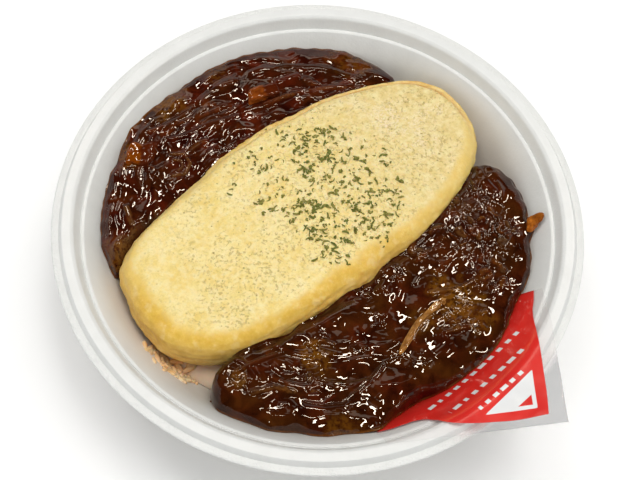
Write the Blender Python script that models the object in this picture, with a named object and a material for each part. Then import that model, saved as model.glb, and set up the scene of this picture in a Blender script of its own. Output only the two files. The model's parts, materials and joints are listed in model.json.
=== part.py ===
"""Omurice in a round takeaway bowl.

A long omelette lies across ketchup rice, between two thick pools of brown sauce, and the
printed corner of a clear film sheet comes out from under the front pool and over the rim.

Frame: the origin is the centre of the bowl's base, +Z is up, +X is right and +Y is back.
The sizes below are in millimetres and become metres when a mesh is made.
Angles around the bowl are in degrees, counter-clockwise from +X.
"""
import math

import bmesh
import bpy
from mathutils import Matrix, Vector, noise

MM = 0.001
GAP = 0.3                       # between pieces that touch

# Bowl
RIM_RADIUS = 95.0
BOWL_HEIGHT = 48.0
BOWL_SEGMENTS = 60
WALL = 1.6                      # thickness of the pressed foam
FLOOR_HEIGHT = 2.8              # inner floor above the table
FLOOR_RADIUS = 46.0             # where the floor starts to curl up
BASE_RADIUS = 44.0              # flat underside
LEDGE_RADIUS = 83.6             # inner ledge under the rim
LEDGE_DROP = 5.0
LEDGE_SLOPE = 52.0              # slope of the wall just below the ledge, degrees
FLOOR_PULL = 16.0               # how far the floor stays flat as it curls
WALL_PULL = 14.0                # how far the wall stays straight below the ledge
BEAD_INNER = 88.2               # flat top of the rim bead
BEAD_OUTER = 90.9
LIP_INNER = 93.4                # thin outer lip
LIP_DROP = 2.4
LIP_THICKNESS = 1.0
WALL_STEPS = 8                  # facets of the wall's curve
SHARP_ANGLE = 50.0              # edges sharper than this stay crisp

# Rice
RICE_LEVEL = 26.0
RICE_EDGE = 5.0                 # width of the rounded edge of the heap
RICE_LUMP = 0.9
RICE_LUMP_SIZE = 9.0
RICE_WAVER = 0.5                # unevenness of the outline
RICE_STEPS = 38
RICE_RINGS = (0.2, 0.4, 0.6, 0.75, 0.86, 0.94, 1.0)
RICE_FULL = 73.2                # the heap reaches the wall
RICE_BY_FILM = 69.5             # and stays clear of the film
RICE_OUTLINE = [(-180, RICE_FULL), (-170, 68.0), (-158, 66.0), (-146, 69.0), (-139, 73.2), (-129, 73.4),
                (-123, 70.0), (-119.5, 65.0), (-114, 65.0), (-109, 69.0), (-101, RICE_FULL),
                (-86, RICE_FULL), (-76, RICE_BY_FILM), (-40, RICE_BY_FILM), (4, RICE_BY_FILM), (16, 66.0),
                (26, 56.0), (42, 60.0), (58, 62.0), (74, 68.0), (88, RICE_FULL), (180, RICE_FULL)]
CLUSTER_ANGLE = -131.0          # the grains that show beside the omelette
CLUSTER_RADIUS = 71.5
CLUSTER_HEIGHT = 2.2
CLUSTER_SPREAD = 6.0

# Omelette
OMELETTE_CENTRE = Vector((-4.7, 6.3))
OMELETTE_TURN = 43.4            # long axis, from +X
OMELETTE_HALF_LENGTH = 73.7
OMELETTE_HALF_WIDTH = 35.1
BLUNT_LEFT = 2.8                # exponents of the two rounded ends
BLUNT_RIGHT = 2.4
OMELETTE_WAVER = 0.5            # unevenness of the outline
OMELETTE_STEPS = 52
OMELETTE_BASE = RICE_LEVEL + 0.5
OMELETTE_THICKNESS = 16.5
OMELETTE_LIFT = 5.0             # the right end rides up on the wall
OMELETTE_THINNING = 5.0         # and is thinner
OMELETTE_CROWN = 1.6
# from the underside over the side to the middle of the top: share of the outline's radius,
# millimetres in from it, share of the thickness
OMELETTE_SECTION = [(0.55, 0.0, 0.0), (1.0, 7.0, 0.0), (1.0, 2.6, 0.05), (1.0, 0.7, 0.2), (1.0, 0.0, 0.42),
                    (1.0, 0.5, 0.64), (1.0, 2.0, 0.82), (1.0, 5.0, 0.94), (0.8, 0.0, 1.0), (0.5, 0.0, 1.0)]

# Sauce pools
SAUCE_LEVEL_BACK = 40.0
SAUCE_LEVEL_FRONT = 40.5
SAUCE_SHOULDER = 9.0            # width of the rounded outer edge
SAUCE_LUMP = 1.5                # big lumps and the small ones on them
SAUCE_LUMP_SIZE = 11.0
SAUCE_RIPPLE = 0.6
SAUCE_RIPPLE_SIZE = 5.0
SAUCE_EDGE = 0.7                # thickness left at the outer edge
SAUCE_END_SHARE = 0.12          # share of the shoulder passed at the very end of a pool
SAUCE_CLEAR_OMELETTE = 0.5
BACK_SEED = 11.0
FRONT_SEED = 23.0
BACK_GRID = 28, 8               # facets along and across each pool
FRONT_GRID = 34, 10
BACK_OUTLINE = [(69.5, 71.5), (74, 75.0), (79, 77.0), (88, 79.3), (105, 80.2), (122, 80.4),
                (138, 79.6), (155, 80.4), (172, 79.4), (186, 77.8), (194, 76.4), (199.5, 75.0)]
FRONT_OUTLINE = [(-119, 65.0), (-116.5, 72.5), (-112, 78.0), (-103, 79.6), (-90, 78.4), (-76, 79.4),
                 (-66, 77.8), (-55, 75.5), (-42, 76.6), (-28, 76.0), (-12, 76.8), (4, 77.0),
                 (15, 77.0), (22, 75.4), (26, 71.5), (28, 66.5)]

# Pieces on the sauce: place, size and turn of the carrots, and the onion's curve
CARROTS_BACK = {
    "carrot_back": ((-25.5, 56.0), (8.0, 6.0, 3.6), 38.0),
    "carrot_left": ((-69.0, 23.5), (11.0, 6.0, 3.6), 74.0),
}
CARROT_TAPER = 0.85
CARROT_LIFT = 0.2               # middle of a carrot above the sauce
ONION_ROUTE = [(32.5, -46.0), (35.0, -40.0), (39.0, -29.0), (45.5, -24.0)]
ONION_WIDTH = 3.0
ONION_THICKNESS = 2.0
ONION_LIFT = 0.5
POCKET_ROOM = GAP + 0.05
EDGE_PIECE_ANGLE = 6.5          # scrap on the wall at the right
EDGE_PIECE_RADIUS = 81.0
EDGE_PIECE_SIZE = (5.4, 5.0, 2.4)
EDGE_PIECE_TAPER = 0.8
EDGE_PIECE_LIFT = 2.1           # its middle above the wall

# Film sheet
FILM_THICKNESS = 0.3
FILM_LIFT = 0.75                # height over the wall it lies on
FILM_CORNER = Vector((86.5, -72.0))
FILM_RIGHT_END = Vector((80.4, -18.0))
FILM_LEFT_END = Vector((26.0, -83.5))
FILM_TUCK_RADIUS = 72.5         # inner end, under the front pool
FILM_ANGLES = (-13.0, -71.0)
FILM_LEAVES_WALL = 80.0         # radius where it lifts off the wall
FILM_CREST = Vector((91.5, BOWL_HEIGHT + 2.4))
FILM_BEND = (6.0, 5.4)          # pull of the two sides of the bend over the ledge
FILM_RISE = 12.0                # slope of the free corner, degrees
FILM_CORNER_RUN = 25.0          # straight run past the crest
FILM_ROWS = 24
FILM_COLUMNS = (0.0, 0.1, 0.2, 0.3, 0.4, 0.48, 0.56, 0.64, 0.74, 0.86, 1.0)
FILM_NEAR_RADIUS = 97.0         # past this only the outer columns stretch, from this share on
FILM_STRETCH_FROM = 0.7
FILM_ROOM_MARGIN = 7.0          # the front pool leaves room for it this far round
FILM_ROOM_DEPTH = 5.0           # and this far inside its inner end
FILM_ROOM = 1.7


def smoothstep(low, high, value):
    t = min(max((value - low) / (high - low), 0.0), 1.0)
    return t * t * (3.0 - 2.0 * t)


def bezier(p0, p1, p2, p3, steps):
    """Points of a cubic curve, both ends included."""
    points = []
    for i in range(steps + 1):
        t = i / steps
        s = 1.0 - t
        points.append(p0 * s ** 3 + p1 * 3 * s * s * t + p2 * 3 * s * t * t + p3 * t ** 3)
    return points


def polar(angle, radius):
    return Vector((radius * math.cos(math.radians(angle)), radius * math.sin(math.radians(angle))))


def interpolate(table, x):
    """Straight-line reading of a rising list of (x, y)."""
    for (x0, y0), (x1, y1) in zip(table, table[1:]):
        if x <= x1:
            return y0 + (y1 - y0) * max(x - x0, 0.0) / (x1 - x0)
    return table[-1][1]


def smooth_reading(knots, x):
    """Catmull-Rom reading of a rising list of (x, y)."""
    last = len(knots) - 1
    for i in range(last):
        if x <= knots[i + 1][0] or i == last - 1:
            break
    y0, y1, y2, y3 = (knots[min(max(i + k, 0), last)][1] for k in (-1, 0, 1, 2))
    t = (x - knots[i][0]) / (knots[i + 1][0] - knots[i][0])
    t = min(max(t, 0.0), 1.0)
    return 0.5 * (2 * y1 + (y2 - y0) * t + (2 * y0 - 5 * y1 + 4 * y2 - y3) * t * t
                  + (3 * y1 - y0 - 3 * y2 + y3) * t ** 3)


def lumps(x, y, size, seed):
    """Smooth unevenness between about -1 and 1."""
    return noise.noise(Vector((x / size, y / size, seed)))


# ---------------------------------------------------------------- the bowl's section

def wall_curve(steps=WALL_STEPS):
    """Inner wall from the floor to the ledge, as (radius, height)."""
    slope = math.radians(LEDGE_SLOPE)
    foot = Vector((FLOOR_RADIUS, FLOOR_HEIGHT))
    ledge = Vector((LEDGE_RADIUS, BOWL_HEIGHT - LEDGE_DROP))
    return bezier(foot, foot + Vector((FLOOR_PULL, 0.0)),
                  ledge - Vector((math.cos(slope), math.sin(slope))) * WALL_PULL, ledge, steps)


WALL_TABLE = [(0.0, FLOOR_HEIGHT)] + [(p.x, p.y) for p in wall_curve(40)]


def wall_height(radius):
    return interpolate(WALL_TABLE, radius)


def wall_radius(height):
    return interpolate([(z, r) for r, z in WALL_TABLE[1:]], height)


def rim_section():
    """Ledge, groove, bead and lip, from the inner wall out and back under to the wall."""
    top = BOWL_HEIGHT
    inside = [(LEDGE_RADIUS + 1.3, top - 4.2), (LEDGE_RADIUS + 2.0, top - 3.8),
              (BEAD_INNER - 2.3, top - 2.3), (BEAD_INNER - 1.6, top - 1.0), (BEAD_INNER, top - 0.1)]
    crown = [((BEAD_INNER + BEAD_OUTER) / 2, top)]
    outside = [(BEAD_OUTER, top - 0.1), (BEAD_OUTER + 0.9, top - 0.6),
               (BEAD_OUTER + 1.5, top - LIP_DROP + 0.3), (LIP_INNER, top - LIP_DROP),
               (RIM_RADIUS, top - LIP_DROP), (RIM_RADIUS, top - LIP_DROP - LIP_THICKNESS)]
    under = [(LIP_INNER - 1.0, top - LIP_DROP - LIP_THICKNESS), (BEAD_OUTER - 0.3, top - WALL - 0.2),
             (BEAD_INNER + 0.6, top - WALL), (BEAD_INNER - 0.4, top - WALL - 1.4)]
    return inside + crown + outside + under


def outer_wall():
    """The wall's outer side, from the ledge down to the flat base."""
    inner = wall_curve()
    points = []
    for i, p in enumerate(inner):
        ahead = inner[min(i + 1, len(inner) - 1)]
        behind = inner[max(i - 1, 0)]
        along = (ahead - behind).normalized()
        points.append((p.x + along.y * WALL, p.y - along.x * WALL))
    lifted = [p for p in reversed(points) if p[1] > FLOOR_HEIGHT - WALL + 0.8]
    return lifted + [(BASE_RADIUS + 3.0, 0.5), (BASE_RADIUS, 0.0)]


# ---------------------------------------------------------------- meshes and materials

def finish_object(name, mesh_data, material):
    """Makes one smooth-shaded object from a bmesh in millimetres."""
    bmesh.ops.recalc_face_normals(mesh_data, faces=mesh_data.faces)
    bmesh.ops.scale(mesh_data, verts=mesh_data.verts, vec=(MM, MM, MM))
    mesh = bpy.data.meshes.new(name)
    mesh_data.to_mesh(mesh)
    mesh_data.free()
    mesh.shade_smooth()
    mesh.set_sharp_from_angle(angle=math.radians(SHARP_ANGLE))
    mesh.materials.append(material)
    obj = bpy.data.objects.new(name, mesh)
    bpy.context.scene.collection.objects.link(obj)
    return obj


def ring_body(rings, bottom=None, top=None):
    """Closed body from rings of equal length, ended by a pole point or joined end to end."""
    bm = bmesh.new()
    loops = [[bm.verts.new(p) for p in ring] for ring in rings]
    pairs = list(zip(loops, loops[1:]))
    if bottom is None:
        pairs.append((loops[-1], loops[0]))
    count = len(loops[0])
    for low, high in pairs:
        for i in range(count):
            j = (i + 1) % count
            bm.faces.new((low[i], low[j], high[j], high[i]))
    for pole, loop in ((bottom, loops[0]), (top, loops[-1])):
        if pole is not None:
            tip = bm.verts.new(pole)
            for i in range(count):
                bm.faces.new((tip, loop[i], loop[(i + 1) % count]))
    return bm


def sheet_body(upper, lower):
    """Closed body between two grids of points of the same size."""
    bm = bmesh.new()
    grids = [[[bm.verts.new(p) for p in row] for row in grid] for grid in (upper, lower)]
    rows, columns = len(upper), len(upper[0])
    for grid in grids:
        for i in range(rows - 1):
            for j in range(columns - 1):
                bm.faces.new((grid[i][j], grid[i + 1][j], grid[i + 1][j + 1], grid[i][j + 1]))
    edge = [(i, 0) for i in range(rows)] + [(rows - 1, j) for j in range(1, columns)]
    edge += [(i, columns - 1) for i in range(rows - 2, -1, -1)] + [(0, j) for j in range(columns - 2, 0, -1)]
    for (i, j), (k, l) in zip(edge, edge[1:] + edge[:1]):
        bm.faces.new((grids[0][i][j], grids[0][k][l], grids[1][k][l], grids[1][i][j]))
    return bm


def surface_material(name, colour, roughness, alpha=1.0):
    material = bpy.data.materials.new(name)
    material.use_nodes = True
    shader = material.node_tree.nodes["Principled BSDF"]
    shader.inputs["Base Color"].default_value = (*colour, 1.0)
    shader.inputs["Roughness"].default_value = roughness
    shader.inputs["Metallic"].default_value = 0.0
    shader.inputs["Alpha"].default_value = alpha
    return material


# ---------------------------------------------------------------- bowl

def make_bowl():
    section = [(FLOOR_RADIUS * 0.5, FLOOR_HEIGHT)]
    section += [(p.x, p.y) for p in wall_curve()]
    section += rim_section() + outer_wall()
    rings = []
    for radius, height in section:
        step = 360.0 / BOWL_SEGMENTS
        rings.append([(*polar(i * step, radius), height) for i in range(BOWL_SEGMENTS)])
    bm = ring_body(rings, bottom=(0, 0, FLOOR_HEIGHT), top=(0, 0, 0))
    return finish_object("bowl", bm, surface_material("white foam", (0.80, 0.80, 0.78), 0.35))


# ---------------------------------------------------------------- rice

def rice_radius(angle):
    """Outline of the heap: short of the wall at both ends of the omelette and by the film."""
    reach = min(smooth_reading(RICE_OUTLINE, angle), wall_radius(RICE_LEVEL) - 2 * GAP)
    return reach - RICE_WAVER * abs(lumps(angle, 0.0, 4.0, 3.0))


def rice_top(x, y):
    centre = polar(CLUSTER_ANGLE, CLUSTER_RADIUS)
    away = (Vector((x, y)) - centre).length / CLUSTER_SPREAD
    cluster = CLUSTER_HEIGHT * math.exp(-away * away)
    return RICE_LEVEL - RICE_LUMP * abs(lumps(x, y, RICE_LUMP_SIZE, 7.0)) + cluster


def make_rice():
    upper, lower = [], []
    angles = [-180 + 360 * i / RICE_STEPS for i in range(RICE_STEPS)]
    for fraction in RICE_RINGS:
        high, low = [], []
        for angle in angles:
            radius = rice_radius(angle) * fraction
            p = polar(angle, radius)
            floor = wall_height(radius) + GAP * 2
            inward = min(rice_radius(angle) * (1 - fraction) / RICE_EDGE, 1.0)
            rounded = math.sqrt(1 - (1 - inward) ** 2)
            depth = max(rice_top(p.x, p.y) - floor - 2 * GAP, 0.0)
            high.append((p.x, p.y, floor + 2 * GAP + depth * (0.35 + 0.65 * rounded)))
            low.append((p.x, p.y, floor))
        upper.append(high)
        lower.append(low)
    bm = ring_body(lower + upper[::-1], bottom=(0, 0, FLOOR_HEIGHT + GAP), top=(0, 0, rice_top(0, 0)))
    return finish_object("rice", bm, surface_material("ketchup rice", (0.72, 0.40, 0.18), 0.5))


# ---------------------------------------------------------------- omelette

def omelette_radius(angle):
    """Outline radius in the omelette's own frame, angle from its long axis."""
    c = math.cos(math.radians(angle))
    s = math.sin(math.radians(angle))
    blend = smoothstep(-0.5, 0.5, c)
    power = BLUNT_LEFT + (BLUNT_RIGHT - BLUNT_LEFT) * blend
    along = abs(c / OMELETTE_HALF_LENGTH) ** power
    across = abs(s / OMELETTE_HALF_WIDTH) ** power
    waver = math.sin(math.radians(7 * angle + 30)) + 0.6 * math.sin(math.radians(11 * angle - 20))
    return (along + across) ** (-1 / power) + OMELETTE_WAVER * waver


def omelette_point(angle, radius):
    return OMELETTE_CENTRE + polar(angle + OMELETTE_TURN, radius)


def omelette_reach(angle):
    """Distance from the bowl's centre to the omelette's outline, in the given direction."""
    direction = polar(angle, 1.0)
    near, far = 0.0, RIM_RADIUS
    for _ in range(30):
        middle = (near + far) / 2
        offset = direction * middle - OMELETTE_CENTRE
        own = math.degrees(math.atan2(offset.y, offset.x)) - OMELETTE_TURN
        if offset.length < omelette_radius(own):
            near = middle
        else:
            far = middle
    return near


def make_omelette():
    rings = []
    for share, inset, level in OMELETTE_SECTION:
        ring = []
        for i in range(OMELETTE_STEPS):
            angle = 360 * i / OMELETTE_STEPS
            radius = omelette_radius(angle) * share - inset
            along = radius * math.cos(math.radians(angle))
            rise = smoothstep(10.0, OMELETTE_HALF_LENGTH, along)
            crown = OMELETTE_CROWN * level * (1 - (radius / omelette_radius(angle)) ** 2)
            height = OMELETTE_BASE + OMELETTE_LIFT * rise
            height += level * (OMELETTE_THICKNESS - OMELETTE_THINNING * rise) + crown
            p = omelette_point(angle, radius)
            ring.append((p.x, p.y, height))
        rings.append(ring)
    top = OMELETTE_BASE + OMELETTE_THICKNESS + OMELETTE_CROWN
    bm = ring_body(rings, bottom=(*OMELETTE_CENTRE, OMELETTE_BASE), top=(*OMELETTE_CENTRE, top))
    return finish_object("omelette", bm, surface_material("egg", (0.93, 0.76, 0.32), 0.45))


# ---------------------------------------------------------------- sauce pools

def film_clearance(angle, radius):
    """Extra room under the front pool where the film is tucked in."""
    low = FILM_ANGLES[1] - FILM_ROOM_MARGIN
    high = FILM_ANGLES[0] + FILM_ROOM_MARGIN
    if low < angle < high and radius > FILM_TUCK_RADIUS - FILM_ROOM_DEPTH:
        return FILM_ROOM
    return 0.0


def sauce_height(outline, level, seed, angle, radius):
    """Top of a pool: level with lumps inside, rounded down to the outer edge and both ends."""
    outer = smooth_reading(outline, angle)
    edge = wall_height(outer) + GAP * 2 + SAUCE_EDGE + film_clearance(angle, outer)
    ends = min(angle - outline[0][0], outline[-1][0] - angle)
    inward = min((outer - radius) / SAUCE_SHOULDER, 1.0)
    inward = min(inward, SAUCE_END_SHARE + math.radians(max(ends, 0.0)) * radius / SAUCE_SHOULDER)
    rounded = math.sqrt(max(1 - (1 - inward) ** 2, 0.0))
    p = polar(angle, radius)
    relief = SAUCE_LUMP * lumps(p.x, p.y, SAUCE_LUMP_SIZE, seed)
    relief += SAUCE_RIPPLE * lumps(p.x, p.y, SAUCE_RIPPLE_SIZE, seed + 5)
    return edge + (level + relief - edge) * rounded


def make_sauce(name, outline, level, seed, grid, material):
    rows, columns = grid
    upper, lower = [], []
    for i in range(rows + 1):
        angle = outline[0][0] + (outline[-1][0] - outline[0][0]) * i / rows
        wrapped = (angle + 180) % 360 - 180
        inner = omelette_reach(angle) + SAUCE_CLEAR_OMELETTE
        outer = max(smooth_reading(outline, angle), inner + 1.0)
        high, low = [], []
        for j in range(columns + 1):
            radius = inner + (outer - inner) * j / columns
            p = polar(angle, radius)
            clearance = film_clearance(wrapped, radius)
            bottom = max(wall_height(radius) + GAP * 2 + clearance, RICE_LEVEL + GAP * 2)
            top = max(sauce_height(outline, level, seed, angle, radius), bottom + SAUCE_EDGE)
            high.append((p.x, p.y, top))
            low.append((p.x, p.y, bottom))
        upper.append(high)
        lower.append(low)
    return finish_object(name, sheet_body(upper, lower), material)


# ---------------------------------------------------------------- film sheet

def film_profile():
    """Height of the film over the radius: up the wall, over the bead, then rising gently."""
    slope = math.radians(LEDGE_SLOPE)
    rise = Vector((math.cos(math.radians(FILM_RISE)), math.sin(math.radians(FILM_RISE))))
    start = Vector((FILM_LEAVES_WALL, wall_height(FILM_LEAVES_WALL) + FILM_LIFT))
    off_wall = start + FILM_BEND[0] * Vector((math.cos(slope), math.sin(slope)))
    bend = bezier(start, off_wall, FILM_CREST - FILM_BEND[1] * rise, FILM_CREST, 12)
    far = FILM_CREST + FILM_CORNER_RUN * rise
    wall = [(r, z + FILM_LIFT) for r, z in WALL_TABLE if FLOOR_RADIUS < r < FILM_LEAVES_WALL]
    return wall + [(p.x, p.y) for p in bend] + [(far.x, far.y)]


def film_outer_radius(angle):
    """Where the ray at this angle leaves the sheet, past one of its two straight edges."""
    direction = polar(angle, 1.0)
    reach = []
    for end in (FILM_RIGHT_END, FILM_LEFT_END):
        along = end - FILM_CORNER
        across = Vector((along.y, -along.x))
        reach.append(FILM_CORNER.dot(across) / direction.dot(across))
    return min(reach)


def make_film():
    profile = film_profile()
    first, last = FILM_ANGLES
    corner_angle = math.degrees(math.atan2(FILM_CORNER.y, FILM_CORNER.x))
    corner_row = round(FILM_ROWS * (corner_angle - first) / (last - first))
    upper, lower = [], []
    for i in range(FILM_ROWS + 1):
        if i <= corner_row:
            angle = first + (corner_angle - first) * i / corner_row
        else:
            share = (i - corner_row) / (FILM_ROWS - corner_row)
            angle = corner_angle + (last - corner_angle) * share
        reach = film_outer_radius(angle)
        high, low = [], []
        for column in FILM_COLUMNS:
            near = min(reach, FILM_NEAR_RADIUS)
            radius = FILM_TUCK_RADIUS + (near - FILM_TUCK_RADIUS) * column
            radius += (reach - near) * smoothstep(FILM_STRETCH_FROM, 1.0, column)
            steepness = (interpolate(profile, radius + 0.5) - interpolate(profile, radius - 0.5))
            height = interpolate(profile, radius)
            p = polar(angle, radius)
            low.append((p.x, p.y, height))
            high.append((p.x, p.y, height + FILM_THICKNESS * math.hypot(1.0, steepness)))
        upper.append(high)
        lower.append(low)
    film = surface_material("printed film", (0.75, 0.02, 0.02), 0.2)
    return finish_object("film_sheet", sheet_body(upper, lower), film)


# ---------------------------------------------------------------- pieces on the sauce

def rounded_block(length, width, height, taper):
    """Block with softened edges, centred, narrower at the top."""
    bm = bmesh.new()
    bmesh.ops.create_cube(bm, size=1.0)
    for v in bm.verts:
        shrink = taper if v.co.z > 0 else 1.0
        v.co = Vector((v.co.x * length * shrink, v.co.y * width * shrink, v.co.z * height))
    bmesh.ops.bevel(bm, geom=list(bm.edges), offset=min(width, height) * 0.25, segments=2,
                    affect="EDGES", profile=0.5)
    return bm


def placed(bm, centre, turn, tilt=0.0, facing=0.0):
    """Turns a piece about Z, tilts it down towards the facing direction and moves it."""
    matrix = Matrix.Translation(centre) @ Matrix.Rotation(math.radians(facing), 4, "Z")
    matrix = matrix @ Matrix.Rotation(math.radians(tilt), 4, "Y")
    matrix = matrix @ Matrix.Rotation(math.radians(turn - facing), 4, "Z")
    bmesh.ops.transform(bm, matrix=matrix, verts=bm.verts)
    return bm


def pool_surface(outline, level, seed, x, y):
    radius = math.hypot(x, y)
    angle = math.degrees(math.atan2(y, x))
    return sauce_height(outline, level, seed, angle, radius)


def piece_shapes(grow=0.0):
    """The vegetables that lie on the sauce, as name: bmesh, grown all round for their pockets."""
    back = BACK_OUTLINE, SAUCE_LEVEL_BACK, BACK_SEED
    front = FRONT_OUTLINE, SAUCE_LEVEL_FRONT, FRONT_SEED
    shapes = {}
    for name, ((x, y), size, turn) in CARROTS_BACK.items():
        grown = [side + 2 * grow for side in size]
        z = pool_surface(*back, x, y) + CARROT_LIFT
        shapes[name] = placed(rounded_block(*grown, CARROT_TAPER), (x, y, z), turn)
    route = [Vector(p) for p in ONION_ROUTE]
    lifted = [(p.x, p.y, pool_surface(*front, p.x, p.y) + ONION_LIFT) for p in bezier(*route, 10)]
    shapes["onion_strip"] = strip_body(lifted, ONION_WIDTH / 2 + grow, ONION_THICKNESS / 2 + grow)
    return shapes


def strip_body(points, half_width, half_thickness, sides=8):
    """Long strip of oval section with blunt ends, along the points."""
    rings = []
    last = len(points) - 1
    for i, point in enumerate(points):
        ahead, behind = Vector(points[min(i + 1, last)]), Vector(points[max(i - 1, 0)])
        along = (ahead - behind).normalized()
        across = along.cross(Vector((0, 0, 1))).normalized()
        up = across.cross(along)
        narrow = 0.6 + 0.4 * math.sin(math.pi * (i + 0.5) / (last + 1))
        ring = []
        for k in range(sides):
            turn = 2 * math.pi * k / sides
            offset = across * math.cos(turn) * half_width * narrow + up * math.sin(turn) * half_thickness
            ring.append(Vector(point) + offset)
        rings.append(ring)
    return ring_body(rings, bottom=points[0], top=points[-1])


def make_pieces(pools):
    """Makes each piece, and cuts its pocket in the pool it lies in."""
    carrot = surface_material("carrot", (0.60, 0.16, 0.03), 0.3)
    onion = surface_material("onion", (0.60, 0.33, 0.12), 0.25)
    cutter_material = surface_material("pocket", (0.5, 0.5, 0.5), 0.5)
    for name, bm in piece_shapes().items():
        finish_object(name, bm, onion if name.startswith("onion") else carrot)
    for name, bm in piece_shapes(grow=POCKET_ROOM).items():
        cutter = finish_object("pocket_" + name, bm, cutter_material)
        cutter.hide_render = True
        cutter.display_type = "WIRE"
        pool = "back" if name in CARROTS_BACK else "front"
        cut = pools[pool].modifiers.new("pocket " + name, "BOOLEAN")
        cut.operation = "DIFFERENCE"
        cut.object = cutter


def make_edge_piece():
    """Scrap of carrot that lies on the wall at the right, just clear of the front pool."""
    radius = EDGE_PIECE_RADIUS
    slope = math.atan(wall_height(radius + 0.5) - wall_height(radius - 0.5))
    height = wall_height(radius) + EDGE_PIECE_LIFT * math.cos(slope)
    centre = polar(EDGE_PIECE_ANGLE, radius - EDGE_PIECE_LIFT * math.sin(slope))
    block = rounded_block(*EDGE_PIECE_SIZE, EDGE_PIECE_TAPER)
    bm = placed(block, (*centre, height), EDGE_PIECE_ANGLE, -math.degrees(slope), EDGE_PIECE_ANGLE)
    carrot = surface_material("carrot scrap", (0.65, 0.22, 0.05), 0.3)
    return finish_object("carrot_right", bm, carrot)


def main():
    for obj in list(bpy.data.objects):
        bpy.data.objects.remove(obj, do_unlink=True)
    make_bowl()
    make_rice()
    make_omelette()
    sauce = surface_material("brown sauce", (0.06, 0.02, 0.008), 0.12)
    pools = {
        "back": make_sauce("sauce_back", BACK_OUTLINE, SAUCE_LEVEL_BACK, BACK_SEED, BACK_GRID, sauce),
        "front": make_sauce("sauce_front", FRONT_OUTLINE, SAUCE_LEVEL_FRONT, FRONT_SEED, FRONT_GRID, sauce),
    }
    make_pieces(pools)
    make_edge_piece()
    make_film()


main()
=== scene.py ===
"""Omurice in a round takeaway bowl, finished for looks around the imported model.

A long omelette lies across ketchup rice, between two thick pools of brown sauce. Parsley flakes
lie on the omelette, and the printed corner of a clear film sheet comes out over the rim.

Frame: origin at the centre of the bowl's base, +Z up, +X right, +Y back.
Sizes here are in millimetres and become metres when a mesh is made.
Angles round the bowl are in degrees, counter-clockwise from +X.
"""
import json
import math

import bmesh
import bpy
import numpy as np
from mathutils import Matrix, Vector

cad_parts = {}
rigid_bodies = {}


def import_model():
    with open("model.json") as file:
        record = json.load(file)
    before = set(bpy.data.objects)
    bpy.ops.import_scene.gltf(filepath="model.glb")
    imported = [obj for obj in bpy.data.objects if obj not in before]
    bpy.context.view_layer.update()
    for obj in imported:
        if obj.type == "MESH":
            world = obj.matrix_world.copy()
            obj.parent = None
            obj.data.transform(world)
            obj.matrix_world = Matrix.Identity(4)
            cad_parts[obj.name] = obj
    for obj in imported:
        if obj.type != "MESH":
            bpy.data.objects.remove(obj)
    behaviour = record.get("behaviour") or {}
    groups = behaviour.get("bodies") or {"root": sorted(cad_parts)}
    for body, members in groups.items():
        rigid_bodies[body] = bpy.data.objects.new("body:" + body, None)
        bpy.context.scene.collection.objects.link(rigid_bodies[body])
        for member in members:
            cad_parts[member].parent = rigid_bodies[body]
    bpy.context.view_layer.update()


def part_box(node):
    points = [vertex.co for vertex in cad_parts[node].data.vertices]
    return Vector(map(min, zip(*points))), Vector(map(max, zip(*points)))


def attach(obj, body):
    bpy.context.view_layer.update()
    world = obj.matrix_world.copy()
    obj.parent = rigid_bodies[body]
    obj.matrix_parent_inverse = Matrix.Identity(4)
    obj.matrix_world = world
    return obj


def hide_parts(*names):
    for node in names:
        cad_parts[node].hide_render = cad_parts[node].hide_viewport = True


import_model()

MM = 0.001


def corners_mm(node):
    """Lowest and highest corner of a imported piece, in millimetres."""
    low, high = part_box(node)
    return np.array(low) / MM, np.array(high) / MM


BOWL_HIGH = corners_mm("bowl")[1]
OMELETTE_LOW = corners_mm("omelette")[0]

# Bowl
RIM_RADIUS = BOWL_HIGH[0]
BOWL_HEIGHT = BOWL_HIGH[2]
BOWL_SEGMENTS = 192
WALL = 1.6
FLOOR_HEIGHT = 2.8
FLOOR_RADIUS = 46.0
BASE_RADIUS = 44.0
LEDGE_RADIUS = 83.6
LEDGE_DROP = 5.0
LEDGE_SLOPE = 52.0
FLOOR_PULL = 16.0
WALL_PULL = 14.0
BEAD_INNER = 88.2
BEAD_OUTER = 90.9
LIP_INNER = 93.4
LIP_DROP = 2.4
LIP_THICKNESS = 1.0

# Rice
RICE_LEVEL = 25.2
RICE_CORE_DROP = 1.4            # the core lies under the loose grains
CLUSTER_ANGLE = -131.0          # the grains that show beside the omelette
CLUSTER_RADIUS = 71.5
GRAIN_LENGTH = 6.0
GRAIN_WIDTH = 2.5

# Omelette
OMELETTE_CENTRE = np.array((-4.7, 6.3))
OMELETTE_TURN = 43.4
OMELETTE_HALF_LENGTH = 73.7
OMELETTE_HALF_WIDTH = 35.1
BLUNT_LEFT = 2.8
BLUNT_RIGHT = 2.4
OMELETTE_WAVER = 0.5
OMELETTE_BASE = OMELETTE_LOW[2]
OMELETTE_THICKNESS = 16.5
OMELETTE_LIFT = 5.0
OMELETTE_THINNING = 5.0
OMELETTE_CROWN = 1.6
OMELETTE_STEPS = 460
OMELETTE_TOP_RINGS = 74
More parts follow.
